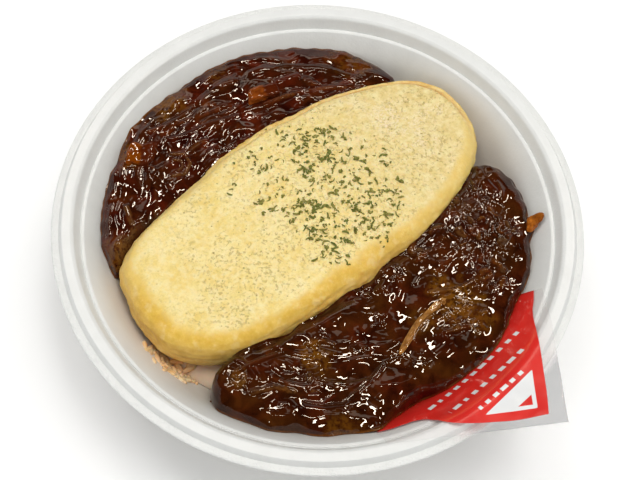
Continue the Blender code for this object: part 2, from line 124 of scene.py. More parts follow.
# the side from the edge of the flat top down to the underside, as (share of thickness, millimetres in):
# where the edge is soft (towards the near left) and where it is crisp (along the back and the right end)
SOFT_SIDE = [(1.0, 12.0), (0.985, 9.0), (0.94, 6.0), (0.87, 3.8), (0.79, 2.4), (0.70, 1.6), (0.62, 1.1),
             (0.54, 0.8), (0.47, 0.5), (0.40, 0.2), (0.33, 0.0), (0.25, 0.2), (0.15, 1.1), (0.06, 2.8),
             (0.0, 7.0)]
CRISP_SIDE = [(1.0, 10.0), (1.0, 6.5), (0.99, 4.6), (0.965, 3.9), (0.90, 3.4), (0.91, 2.8), (0.92, 2.0),
              (0.89, 1.1), (0.82, 0.35), (0.72, 0.0), (0.60, 0.3), (0.45, 0.7), (0.25, 1.2), (0.08, 2.8),
              (0.0, 7.0)]
# how much farther out than the plain oval its edge lies, by angle from its long axis
OMELETTE_DENTS = [(-180, 0.2), (-171, 0.9), (-164, 0.0), (-155, -0.3), (-30, 0.2), (-20, 0.4), (-14, 1.1),
                  (0, 0.9), (6, 0.2), (15, 0.3), (23, 0.3), (34, 0.8), (45, 1.1), (61, 0.9), (75, 2.2),
                  (88, 3.0), (100, 2.4), (113, 1.5), (131, 0.2), (145, -0.7), (153, 0.7), (159, 1.2),
                  (163, 1.0), (170, -1.3), (176, -0.3), (180, 0.2)]

# Sauce pools: level and outline by angle round the bowl
SAUCE_LEVEL_BACK = [(68, 39.6), (200, 39.6)]
SAUCE_LEVEL_FRONT = [(-119, 39.4), (-100, 39.0), (-80, 38.0), (-55, 37.2), (-20, 37.6), (0, 39.2), (18, 40.2),
                     (33.5, 39.2)]
SAUCE_END_SHOULDER = 5.5
SAUCE_EDGE = 0.25
SAUCE_UNDER_OMELETTE = 1.6      # how far a pool runs in under the omelette's edge
BACK_OUTLINE = [(68, 70.0), (69.5, 73.2), (71.5, 75.3), (75.3, 76.7), (79, 77.8), (82, 78.4), (88, 79.4),
                (105, 79.9), (122, 80.2), (138, 79.6), (150, 80.4), (159, 80.5), (163, 79.5), (171, 79.4),
                (177, 79.2), (183.5, 79.0), (188.5, 78.7), (192.5, 77.9), (196.5, 76.5), (199, 75.2)]
FRONT_OUTLINE = [(-119, 65.0), (-116.5, 72.0), (-112, 76.9), (-108, 77.5), (-103, 77.4), (-97, 78.5),
                 (-90, 77.0), (-84, 78.8), (-79, 77.8), (-74, 78.8), (-70, 79.4), (-67, 76.5),
                 (-64, 74.6), (-60, 73.0), (-55, 72.4), (-51, 73.6), (-45.5, 74.8), (-40, 75.4),
                 (-35, 76.3), (-30, 76.7), (-25.7, 76.4), (-20.5, 75.8), (-14, 76.3), (-9, 77.9),
                 (-3.6, 78.1), (2.4, 77.9), (6.5, 79.0), (9.5, 78.2), (14, 78.0), (17.6, 77.8), (21, 77.3),
                 (24.5, 76.4), (27.5, 74.8), (30, 72.2), (32, 69.2), (33.5, 66.5)]
# height at which each pool meets the omelette's side
FRONT_AGAINST_OMELETTE = [(-119, 34.4), (-114, 37.8), (-107, 37.8), (-100, 33.8), (-95, 36.2), (-87, 34.6),
                          (-67, 35.8), (-55, 36.2), (-41, 34.9), (-31, 36.4), (-18, 35.9), (-12, 36.2),
                          (3, 38.6), (11, 39.2), (18, 39.1), (26, 38.2), (33.5, 36.6)]
BACK_AGAINST_OMELETTE = [(69, 37.5), (80, 38.4), (110, 38.6), (140, 38.4), (170, 37.5), (190, 35.5),
                         (200, 34.5)]

# Film sheet
FILM_THICKNESS = 0.15
FILM_LIFT = 0.75
FILM_CORNER = np.array((86.5, -72.0))
FILM_RIGHT_END = np.array((80.4, -18.0))
FILM_LEFT_END = np.array((26.0, -83.5))
FILM_TUCK_RADIUS = 63.0
FILM_ANGLES = (-13.0, -71.0)
FILM_LEAVES_WALL = 80.0
FILM_CREST = np.array((91.5, BOWL_HEIGHT + 2.4))
FILM_BEND = (6.0, 5.4)
FILM_RISE = 12.0
FILM_CORNER_RUN = 25.0
FILM_RAISE = 1.2                # how far it stands off the wall under the sauce's edge
# clear margin outside the red print: millimetres along the sheet from its corner, millimetres wide
FILM_MARGIN_RIGHT = [(0, 6.0), (4, 5.8), (10, 5.4), (20, 5.2), (36, 4.9), (45, 4.2), (51, 2.8), (60, 1.5)]
FILM_MARGIN_NEAR = [(0, 4.0), (6, 3.6), (15, 2.9), (22, 3.1), (30, 3.7), (35, 4.5), (38, 5.4), (42, 7.8),
                    (47, 9.8), (52, 9.0), (57, 7.9), (60, 7.6)]
FILM_MARGIN_REACH = 60.0        # the ends of both lists along the sheet
FILM_MARGIN_WIDEST = 12.0       # more than the widest margin

# Camera: where it looks, from how high above the horizon, how far, and how the picture is turned
CAMERA_TARGET = Vector((0.9, -10.5, 48.0)) * MM
CAMERA_ELEVATION = 62.33
CAMERA_DISTANCE = 440.0 * MM
CAMERA_ROLL = 5.3
CAMERA_LENS = 70.36


# ---------------------------------------------------------------- small tools

def smoothstep(low, high, value):
    t = np.clip((value - low) / (high - low), 0.0, 1.0)
    return t * t * (3.0 - 2.0 * t)


def bezier(p0, p1, p2, p3, steps):
    t = np.linspace(0.0, 1.0, steps + 1)[:, None]
    s = 1.0 - t
    return p0 * s ** 3 + p1 * 3 * s * s * t + p2 * 3 * s * t * t + p3 * t ** 3


def polar(angle, radius):
    """Points (..., 2) at these angles in degrees and radii."""
    a = np.radians(angle)
    return np.stack((radius * np.cos(a), radius * np.sin(a)), axis=-1)


def catmull_rom(knots, x):
    """Smooth reading of a rising list of (x, y) at an array of places."""
    knots = np.array(knots, float)
    x = np.atleast_1d(np.asarray(x, float))
    last = len(knots) - 1
    i = np.clip(np.searchsorted(knots[:, 0], x, side="left") - 1, 0, last - 1)
    y0, y1, y2, y3 = (knots[np.clip(i + k, 0, last), 1] for k in (-1, 0, 1, 2))
    t = np.clip((x - knots[i, 0]) / (knots[i + 1, 0] - knots[i, 0]), 0.0, 1.0)
    return 0.5 * (2 * y1 + (y2 - y0) * t + (2 * y0 - 5 * y1 + 4 * y2 - y3) * t * t
                  + (3 * y1 - y0 - 3 * y2 + y3) * t ** 3)


def lumps(x, y, size, seed):
    """Smooth unevenness between about -1 and 1, for arrays of places."""
    x, y = np.asarray(x, float) / size, np.asarray(y, float) / size
    column, row = np.floor(x).astype(np.int64), np.floor(y).astype(np.int64)
    fx, fy = x - column, y - row
    ux, uy = (f ** 3 * (f * (f * 6 - 15) + 10) for f in (fx, fy))

    def slope(i, j):
        mixed = ((column + i) * 374761393 + (row + j) * 668265263 + int(seed) * 974634777) & 0x7FFFFFFF
        mixed = ((mixed ^ (mixed >> 13)) * 1274126177) & 0x7FFFFFFF
        turn = ((mixed ^ (mixed >> 16)) & 0xFFFF) / 65536.0 * 2 * math.pi
        return np.cos(turn) * (fx - i) + np.sin(turn) * (fy - j)

    low = slope(0, 0) * (1 - ux) + slope(1, 0) * ux
    high = slope(0, 1) * (1 - ux) + slope(1, 1) * ux
    return 1.5 * (low * (1 - uy) + high * uy)


def pebbles(x, y, size, seed, lean=0.9):
    """Leaning flat-topped bits packed side by side, 0 in their creases, and a shade for each bit."""
    x, y = np.asarray(x, float) / size, np.asarray(y, float) / size
    column, row = np.floor(x).astype(np.int64), np.floor(y).astype(np.int64)
    nearest, second = np.full(x.shape, 9.0), np.full(x.shape, 9.0)
    shade, slant = np.zeros(x.shape), np.zeros(x.shape)
    for i in (-1, 0, 1):
        for j in (-1, 0, 1):
            mixed = ((column + i) * 668265263 + (row + j) * 374761393 + int(seed) * 362437) & 0x7FFFFFFF
            mixed = ((mixed ^ (mixed >> 13)) * 1274126177) & 0x7FFFFFFF
            dx = x - (column + i + 0.1 + 0.8 * ((mixed >> 4) & 0xFF) / 255.0)
            dy = y - (row + j + 0.1 + 0.8 * ((mixed >> 12) & 0xFF) / 255.0)
            d = np.hypot(dx, dy)
            closer = d < nearest
            second = np.where(closer, nearest, np.minimum(second, d))
            shade = np.where(closer, ((mixed >> 20) & 0xFF) / 255.0, shade)
            turn = ((mixed >> 8) & 0xFF) / 255.0 * 2 * math.pi
            slant = np.where(closer, dx * np.cos(turn) + dy * np.sin(turn), slant)
            nearest = np.where(closer, d, nearest)
    rise = 1.0 - np.clip(1.0 - (second - nearest) / 0.55, 0.0, 1.0) ** 2.6
    return rise * (0.35 + 0.65 * shade + lean * slant), shade


def rounded_off(points, times=2):
    """Cuts the corners of an open line of points, which keeps its two ends."""
    for _ in range(times):
        near = points[:-1] * 0.75 + points[1:] * 0.25
        far = points[:-1] * 0.25 + points[1:] * 0.75
        middle = np.stack((near, far), axis=1).reshape(-1, points.shape[1])
        points = np.concatenate((points[:1], middle[1:-1], points[-1:]))
    return points


# ---------------------------------------------------------------- meshes

def mesh_object(name, points, faces, material, attributes=None, uv=None):
    """Smooth-shaded mesh from points in millimetres, with values for each point."""
    mesh = bpy.data.meshes.new(name)
    mesh.from_pydata((np.asarray(points, float).reshape(-1, 3) * MM).tolist(), [], faces)
    for key, values in (attributes or {}).items():
        layer = mesh.attributes.new(key, "FLOAT", "POINT")
        layer.data.foreach_set("value", np.asarray(values, np.float32).ravel())
    if uv is not None:
        layer = mesh.uv_layers.new(name="sheet")
        corner = np.zeros(len(mesh.loops), np.int32)
        mesh.loops.foreach_get("vertex_index", corner)
        layer.data.foreach_set("uv", np.asarray(uv, np.float32).reshape(-1, 2)[corner].ravel())
    mesh.materials.append(material)
    mesh.shade_smooth()
    obj = bpy.data.objects.new(name, mesh)
    bpy.context.scene.collection.objects.link(obj)
    return obj


def outward(obj):
    """Turns all faces outwards."""
    bm = bmesh.new()
    bm.from_mesh(obj.data)
    bmesh.ops.recalc_face_normals(bm, faces=bm.faces)
    bm.to_mesh(obj.data)
    bm.free()
    return obj


def ring_faces(rings, steps):
    """Faces between closed rings of points, with a pole point before and after them."""
    faces = []
    for i in range(rings - 1):
        a, b = 1 + i * steps, 1 + (i + 1) * steps
        for j in range(steps):
            k = (j + 1) % steps
            faces.append((a + j, b + j, b + k, a + k))
    tip, end = 1 + (rings - 1) * steps, 1 + rings * steps
    for j in range(steps):
        k = (j + 1) % steps
        faces.append((0, 1 + j, 1 + k))
        faces.append((tip + j, end, tip + k))
    return faces


def grid_shell(top, bottom, share):
    """Closed shell of a fine top grid over a coarse bottom grid, one point for every `share`."""
    rows, columns = top.shape[0] - 1, top.shape[1] - 1
    low_rows, low_columns = rows // share, columns // share
    low = bottom[::share, ::share]
    offset = top.shape[0] * top.shape[1]

    def up(i, j):
        return i * (columns + 1) + j

    def down(i, j):
        return offset + i * (low_columns + 1) + j

    faces = []
    for i in range(rows):
        for j in range(columns):
            faces.append((up(i, j), up(i + 1, j), up(i + 1, j + 1), up(i, j + 1)))
    for i in range(low_rows):
        for j in range(low_columns):
            faces.append((down(i, j), down(i, j + 1), down(i + 1, j + 1), down(i + 1, j)))
    for i in range(low_rows):
        for j, low_j, flip in ((0, 0, False), (columns, low_columns, True)):
            fine = [up(i * share + k, j) for k in range(share + 1)]
            side = fine + [down(i + 1, low_j), down(i, low_j)]
            faces.append(tuple(side if flip else side[::-1]))
    for j in range(low_columns):
        for i, low_i, flip in ((0, 0, True), (rows, low_rows, False)):
            fine = [up(i, j * share + k) for k in range(share + 1)]
            side = fine + [down(low_i, j + 1), down(low_i, j)]
            faces.append(tuple(side if flip else side[::-1]))
    return np.concatenate((top.reshape(-1, 3), low.reshape(-1, 3))), faces


# ---------------------------------------------------------------- node trees

def feed(tree, socket, value):
    """Links a node's input to another node's output, or sets its value."""
    if isinstance(value, bpy.types.NodeSocket):
        tree.links.new(value, socket)
    elif isinstance(value, (tuple, list)) and len(value) == 3 and socket.type == "RGBA":
        socket.default_value = (*value, 1.0)
    else:
        socket.default_value = value


def add_node(tree, kind, links, settings):
    """New node with these settings and these values or links at its inputs."""
    made = tree.nodes.new(kind)
    for key, value in settings.items():
        setattr(made, key, value)
    for socket, value in dict(links).items():
        feed(tree, made.inputs[socket], value)
    return made


# ---------------------------------------------------------------- materials

class Finish:
    """A material on one Principled shader, and short calls for the nodes behind it."""

    def __init__(self, name, **plain):
        self.material = bpy.data.materials.new(name)
        self.material.use_nodes = True
        self.tree = self.material.node_tree
        self.shader = self.tree.nodes["Principled BSDF"]
        self.place = self.tree.nodes.new("ShaderNodeTexCoord").outputs["Object"]
        for key, value in plain.items():
            self.shader.inputs[key.replace("_", " ").title()].default_value = value

    def node(self, kind, links=(), **settings):
        return add_node(self.tree, kind, links, settings)

    def set(self, socket, value):
        """Gives one of the shader's inputs a value or a pattern."""
        feed(self.tree, self.shader.inputs[socket], value)

    def soften(self, weight, radius, scale):
        """Lets light through the surface."""
        self.set("Subsurface Weight", weight)
        self.set("Subsurface Radius", radius)
        self.set("Subsurface Scale", scale)

    def varnish(self, weight, roughness):
        """Lays a clear coat over the surface."""
        self.set("Coat Weight", weight)
        self.set("Coat Roughness", roughness)

    def attribute(self, name):
        """Value that the mesh carries at each point."""
        return self.node("ShaderNodeAttribute", attribute_name=name).outputs["Fac"]

    def noise(self, size, detail=2.0, rough=0.5, warp=0.0):
        """Noise whose features are about this many millimetres across."""
        links = {"Vector": self.place, "Scale": 1.0 / (size * MM), "Detail": detail,
                 "Roughness": rough, "Distortion": warp}
        return self.node("ShaderNodeTexNoise", links).outputs["Fac"]

    def cells(self, size, randomness=1.0, flat=False):
        """Cells about this many millimetres across; flat ones run straight down through the piece."""
        links = {"Vector": self.place, "Scale": 1.0 / (size * MM), "Randomness": randomness}
        return self.node("ShaderNodeTexVoronoi", links, voronoi_dimensions="2D" if flat else "3D")

    def dots(self, size, smallest, largest, share):
        """Round dots in some of the flat cells, 1 inside; radii are in millimetres."""
        cells = self.cells(size, flat=True)
        chance = self.node("ShaderNodeSeparateColor", {0: cells.outputs["Color"]}).outputs[0]
        kept = self.maths("GREATER_THAN", chance, 1.0 - share)
        radius = self.node("ShaderNodeMapRange", {"Value": chance, "From Min": 1.0 - share,
                                                  "To Min": smallest / size, "To Max": largest / size})
        ratio = self.maths("DIVIDE", cells.outputs["Distance"], radius.outputs["Result"])
        return self.times(self.rest_of(self.step(0.55, 1.15, ratio)), kept)

    def maths(self, operation, a, b=0.0, c=0.0, clamp=False):
        links = {0: a, 1: b, 2: c}
        return self.node("ShaderNodeMath", links, operation=operation, use_clamp=clamp).outputs[0]

    def times(self, a, b, clamp=False):
        return self.maths("MULTIPLY", a, b, clamp=clamp)

    def rest_of(self, value):
        """What this value leaves of 1."""
        return self.maths("SUBTRACT", 1.0, value)

    def from_axis(self):
        """Distance from the bowl's upright axis, in metres."""
        split = self.node("ShaderNodeSeparateXYZ", {0: self.place})
        flat = self.node("ShaderNodeCombineXYZ", {0: split.outputs[0], 1: split.outputs[1]}).outputs[0]
        return self.node("ShaderNodeVectorMath", {0: flat}, operation="LENGTH").outputs["Value"]

    def step(self, low, high, value):
        """0 below low, 1 above high, smooth between."""
        links = {"Value": value, "From Min": low, "From Max": high}
        return self.node("ShaderNodeMapRange", links, interpolation_type="SMOOTHSTEP").outputs["Result"]

    def remap(self, value, low, high):
        """0..1 stretched to low..high."""
        links = {"Value": value, "To Min": low, "To Max": high}
        return self.node("ShaderNodeMapRange", links).outputs["Result"]

    def curve(self, value, knots, reach, top):
        """Smooth reading of (x, y) knots with x up to `reach` and y up to `top`."""
        share = self.maths("DIVIDE", value, reach, clamp=True)
        made = self.node("ShaderNodeFloatCurve", {"Value": share})
        line = made.mapping.curves[0]
        while len(line.points) < len(knots):
            line.points.new(0.5, 0.5)
        for point, (x, y) in zip(line.points, knots):
            point.location = (x / reach, y / top)
        made.mapping.update()
        return self.times(made.outputs["Value"], top)

    def ramp(self, value, stops):
        """Colour read from (position, colour) stops."""
        made = self.node("ShaderNodeValToRGB", {"Fac": value})
        points = made.color_ramp.elements
        while len(points) < len(stops):
            points.new(0.5)
        for point, (position, colour) in zip(points, stops):
            point.position = position
            point.color = (*colour, 1.0)
        return made.outputs["Color"]

    def mix(self, share, a, b):
        """Colour a where the share is 0 and colour b where it is 1."""
        return self.node("ShaderNodeMix", {0: share, 6: a, 7: b}, data_type="RGBA").outputs[2]

    def bump(self, height, distance, strength=1.0, under=None):
        """Bump of this many millimetres for a height of 0..1."""
        links = {"Height": height, "Distance": distance * MM, "Strength": strength}
        if under is not None:
            links["Normal"] = under
        return self.node("ShaderNodeBump", links).outputs["Normal"]


# ---------------------------------------------------------------- geometry nodes

class Recipe:
    """A Geometry Nodes tree with named inputs, run once on an object and baked to a plain mesh."""

    def __init__(self, name, inputs):
        self.tree = bpy.data.node_groups.new(name, "GeometryNodeTree")
        face = self.tree.interface
        face.new_socket("Geometry", in_out="INPUT", socket_type="NodeSocketGeometry")
        face.new_socket("Geometry", in_out="OUTPUT", socket_type="NodeSocketGeometry")
        for label, kind in inputs.items():
            face.new_socket(label, in_out="INPUT", socket_type="NodeSocket" + kind)
        self.source = self.tree.nodes.new("NodeGroupInput").outputs

    def node(self, kind, links=(), **settings):
        return add_node(self.tree, kind, links, settings)

    def end(self, geometry, material):
        """Makes the instances real and paints them."""
        real = self.node("GeometryNodeRealizeInstances", {0: geometry}).outputs[0]
        painted = self.node("GeometryNodeSetMaterial", {0: real, "Material": material}).outputs[0]
        self.node("NodeGroupOutput", {0: painted})

    def bake(self, name, start, values):
        """Runs the tree on the mesh `start` and returns a plain mesh object."""
        carrier = bpy.data.objects.new(name + "_carrier", start)
        bpy.context.scene.collection.objects.link(carrier)
        modifier = carrier.modifiers.new("recipe", "NODES")
        modifier.node_group = self.tree
        for socket in self.tree.interface.items_tree:
            if socket.in_out == "INPUT" and socket.name in values:
                modifier[socket.identifier] = values[socket.name]
        bpy.context.view_layer.update()
        graph = bpy.context.evaluated_depsgraph_get()
        mesh = bpy.data.meshes.new_from_object(carrier.evaluated_get(graph), depsgraph=graph)
        bpy.data.objects.remove(carrier)
        mesh.name = name
        mesh.shade_smooth()
        obj = bpy.data.objects.new(name, mesh)
        bpy.context.scene.collection.objects.link(obj)
        return obj


def shapes_collection(name, meshes):
    """Unlinked collection of shapes that a recipe picks from."""
    collection = bpy.data.collections.new(name)
    for i, mesh in enumerate(meshes):
        collection.objects.link(bpy.data.objects.new(f"{name}_{i}", mesh))
    return collection


def clear_collection(collection):
    for obj in list(collection.objects):
        bpy.data.objects.remove(obj)
    bpy.data.collections.remove(collection)


# ---------------------------------------------------------------- the bowl's section

def wall_curve(steps):
    """The inner wall from the floor's edge up to the ledge, as (radius, height)."""
    slope = math.radians(LEDGE_SLOPE)
    foot = np.array((FLOOR_RADIUS, FLOOR_HEIGHT))
    ledge = np.array((LEDGE_RADIUS, BOWL_HEIGHT - LEDGE_DROP))
    along = np.array((math.cos(slope), math.sin(slope)))
    return bezier(foot, foot + (FLOOR_PULL, 0.0), ledge - along * WALL_PULL, ledge, steps)


WALL_TABLE = np.concatenate(([(0.0, FLOOR_HEIGHT)], wall_curve(60)))


def wall_height(radius):
    return np.interp(radius, WALL_TABLE[:, 0], WALL_TABLE[:, 1])


def rim_section():
    """Ledge with a small groove, bead and lip, then back under the lip to the wall's outer side."""
    top = BOWL_HEIGHT
    lip = top - LIP_DROP
    lip_base = lip - LIP_THICKNESS
    ledge = [(0.15, 4.93), (0.3, 4.85), (0.8, 4.65), (1.1, 4.6), (1.2, 4.95), (1.45, 4.95), (1.6, 4.4)]
    bead_in = [(-2.0, 2.3), (-1.3, 0.7), (-0.45, 0.2), (-0.2, 0.05), (0.1, 0.0)]
    bead_out = [(0.0, 0.02), (0.2, 0.12), (0.35, 0.35), (1.1, 1.7)]
    return np.array(
        [(LEDGE_RADIUS + out, top - down) for out, down in ledge]
        + [(BEAD_INNER + out, top - down) for out, down in bead_in]
        + [((BEAD_INNER + BEAD_OUTER) / 2, top)]
        + [(BEAD_OUTER + out, top - down) for out, down in bead_out]
        + [(BEAD_OUTER + 1.4, lip - 0.1), (BEAD_OUTER + 1.6, lip - 0.15), (LIP_INNER - 0.3, lip),
           (LIP_INNER, lip), (RIM_RADIUS - 0.3, lip), (RIM_RADIUS, lip - 0.3), (RIM_RADIUS, lip_base + 0.2),
           (RIM_RADIUS - 0.4, lip_base), (LIP_INNER - 1.0, lip_base), (BEAD_OUTER - 0.3, top - WALL - 0.2),
           (BEAD_INNER + 0.6, top - WALL), (BEAD_INNER - 0.4, top - WALL - 1.4)])


def outer_wall():
    """The outer side of the wall from the rim down to the foot, one wall's thickness outside the inner."""
    inner = wall_curve(24)
    along = np.gradient(inner, axis=0)
    along /= np.linalg.norm(along, axis=1)[:, None]
    outer = inner + np.stack((along[:, 1], -along[:, 0]), axis=1) * WALL
    outer = outer[::-1]
    outer = outer[outer[:, 1] > FLOOR_HEIGHT - WALL + 0.8]
    foot = [(BASE_RADIUS + 3.0, 0.5), (BASE_RADIUS + 0.6, 0.0), (BASE_RADIUS - 1.0, 0.0)]
    return np.concatenate((outer, foot))


# places on the inner wall beside the omelette's ends painted warmer and lighter, as painted light against the
# shade there: the place in metres, and the colour there
PAINTED_LIGHT_PLACES = [((0.060, 0.048, 0.036), (0.63, 0.565, 0.49)), ((-0.059, -0.041, 0.030), (0.76, 0.70, 0.64))]


def foam_finish():
    """White pressed foam with dimples on the outer lip; near the food the inner wall is painted darker and
    warmer, partly stain and partly painted shade and warm bounce light, and beside the omelette's ends it is
    painted warmer and lighter as painted light.
    """
    foam = Finish("white_foam", Roughness=0.42)
    foam.shader.inputs["IOR"].default_value = 1.5
    mottled = foam.noise(9.0, 3.0, 0.6)
    cells = foam.cells(0.9).outputs["Distance"]
    radius = foam.from_axis()
    plain = foam.ramp(mottled, [(0.3, (0.705, 0.71, 0.69)), (0.7, (0.745, 0.75, 0.73))])
    # near the food the wall is painted darker and warmer: partly a stain, partly painted shade and warm light
    # bounced off the food
    shade_light_and_stain = foam.mix(foam.step(0.35, 0.65, mottled), (0.575, 0.555, 0.495), (0.61, 0.595, 0.54))
    food_shade_share = foam.rest_of(foam.step(72.0 * MM, 86.0 * MM, radius))
    # beside the omelette's ends the wall is painted warmer and lighter: painted light against the shade there
    for place, painted_light in PAINTED_LIGHT_PLACES:
        offset = foam.node("ShaderNodeVectorMath", {0: foam.place, 1: place}, operation="DISTANCE")
        share = foam.rest_of(foam.step(14.0 * MM, 40.0 * MM, offset.outputs["Value"]))
        shade_light_and_stain = foam.mix(foam.times(share, 0.8), shade_light_and_stain, painted_light)
    foam.set("Base Color", foam.mix(food_shade_share, plain, shade_light_and_stain))
    foam.set("Roughness", foam.remap(foam.noise(3.0, 3.0), 0.30, 0.44))
    # pressed dimples on the outer lip
    on_lip = foam.step((LIP_INNER - 1.6) * MM, (LIP_INNER + 0.2) * MM, radius)
    dimples = foam.times(foam.cells(0.95, randomness=0.5).outputs["Distance"], on_lip)
    skin = foam.bump(cells, 0.04)
    foam.set("Normal", foam.bump(dimples, 0.22, 1.0, skin))
    foam.soften(0.12, (1.0, 1.0, 1.0), 1.2 * MM)
    return foam.material


def make_bowl():
    """Turns the bowl's section round the Z axis with a Geometry Nodes lathe."""
    floor = [(0.0, FLOOR_HEIGHT), (20.0, FLOOR_HEIGHT), (38.0, FLOOR_HEIGHT)]
    underside = [(20.0, 0.0), (0.0, 0.0)]
    crisp_corner = wall_curve(400)[-2:]
    section = np.concatenate((floor, wall_curve(40)[:-1], crisp_corner, rounded_off(rim_section()),
                              outer_wall(), underside))
    turned_on = RIM_RADIUS * MM
    curve = bpy.data.curves.new("bowl_section", "CURVE")
    curve.dimensions = "3D"
    line = curve.splines.new("POLY")
    line.points.add(len(section) - 1)
    for point, (radius, height) in zip(line.points, section):
        point.co = (radius * MM - turned_on, -height * MM, 0.0, 1.0)
    carrier = bpy.data.objects.new("bowl_section", curve)
    bpy.context.scene.collection.objects.link(carrier)
    lathe = Recipe("lathe", {"Section": "Object", "Radius": "Float", "Segments": "Int"})
    circle = lathe.node("GeometryNodeCurvePrimitiveCircle",
                        {"Resolution": lathe.source["Segments"], "Radius": lathe.source["Radius"]})
    section_in = lathe.node("GeometryNodeObjectInfo", {0: lathe.source["Section"]})
    swept = lathe.node("GeometryNodeCurveToMesh", {0: circle.outputs[0], 1: section_in.outputs["Geometry"]})
    closed = lathe.node("GeometryNodeMergeByDistance", {0: swept.outputs[0], "Distance": 0.01 * MM})
    lathe.end(closed.outputs[0], foam_finish())
    bowl = lathe.bake("foam_bowl", bpy.data.meshes.new("empty"),
                      {"Section": carrier, "Radius": turned_on, "Segments": BOWL_SEGMENTS})
    bpy.data.objects.remove(carrier)
    return outward(bowl)


# ---------------------------------------------------------------- omelette

def omelette_radius(angle):
    """Outline radius in the omelette's own frame, for angles from its long axis."""
    c, s = np.cos(np.radians(angle)), np.sin(np.radians(angle))
    power = BLUNT_LEFT + (BLUNT_RIGHT - BLUNT_LEFT) * smoothstep(-0.5, 0.5, c)
    along = np.abs(c / OMELETTE_HALF_LENGTH) ** power
    across = np.abs(s / OMELETTE_HALF_WIDTH) ** power
    waver = np.sin(np.radians(7 * angle + 30)) + 0.6 * np.sin(np.radians(11 * angle - 20))
    wrapped = (np.asarray(angle, float) + 180.0) % 360.0 - 180.0
    dents = catmull_rom(OMELETTE_DENTS, wrapped).reshape(np.shape(wrapped))
    return (along + across) ** (-1 / power) + OMELETTE_WAVER * waver + dents


def own_place(x, y):
    """Distance along and across the omelette from its centre."""
    turn = math.radians(OMELETTE_TURN)
    dx, dy = x - OMELETTE_CENTRE[0], y - OMELETTE_CENTRE[1]
    return dx * math.cos(turn) + dy * math.sin(turn), dy * math.cos(turn) - dx * math.sin(turn)


def omelette_reach(angles):
    """Distance from the bowl's centre to the omelette's outline, in each direction."""
    near, far = np.zeros(len(angles)), np.full(len(angles), RIM_RADIUS)
    for _ in range(30):
        middle = (near + far) / 2
        p = polar(angles, middle)
        u, v = own_place(p[:, 0], p[:, 1])
        inside = np.hypot(u, v) < omelette_radius(np.degrees(np.arctan2(v, u)))
        near, far = np.where(inside, middle, near), np.where(inside, far, middle)
    return near


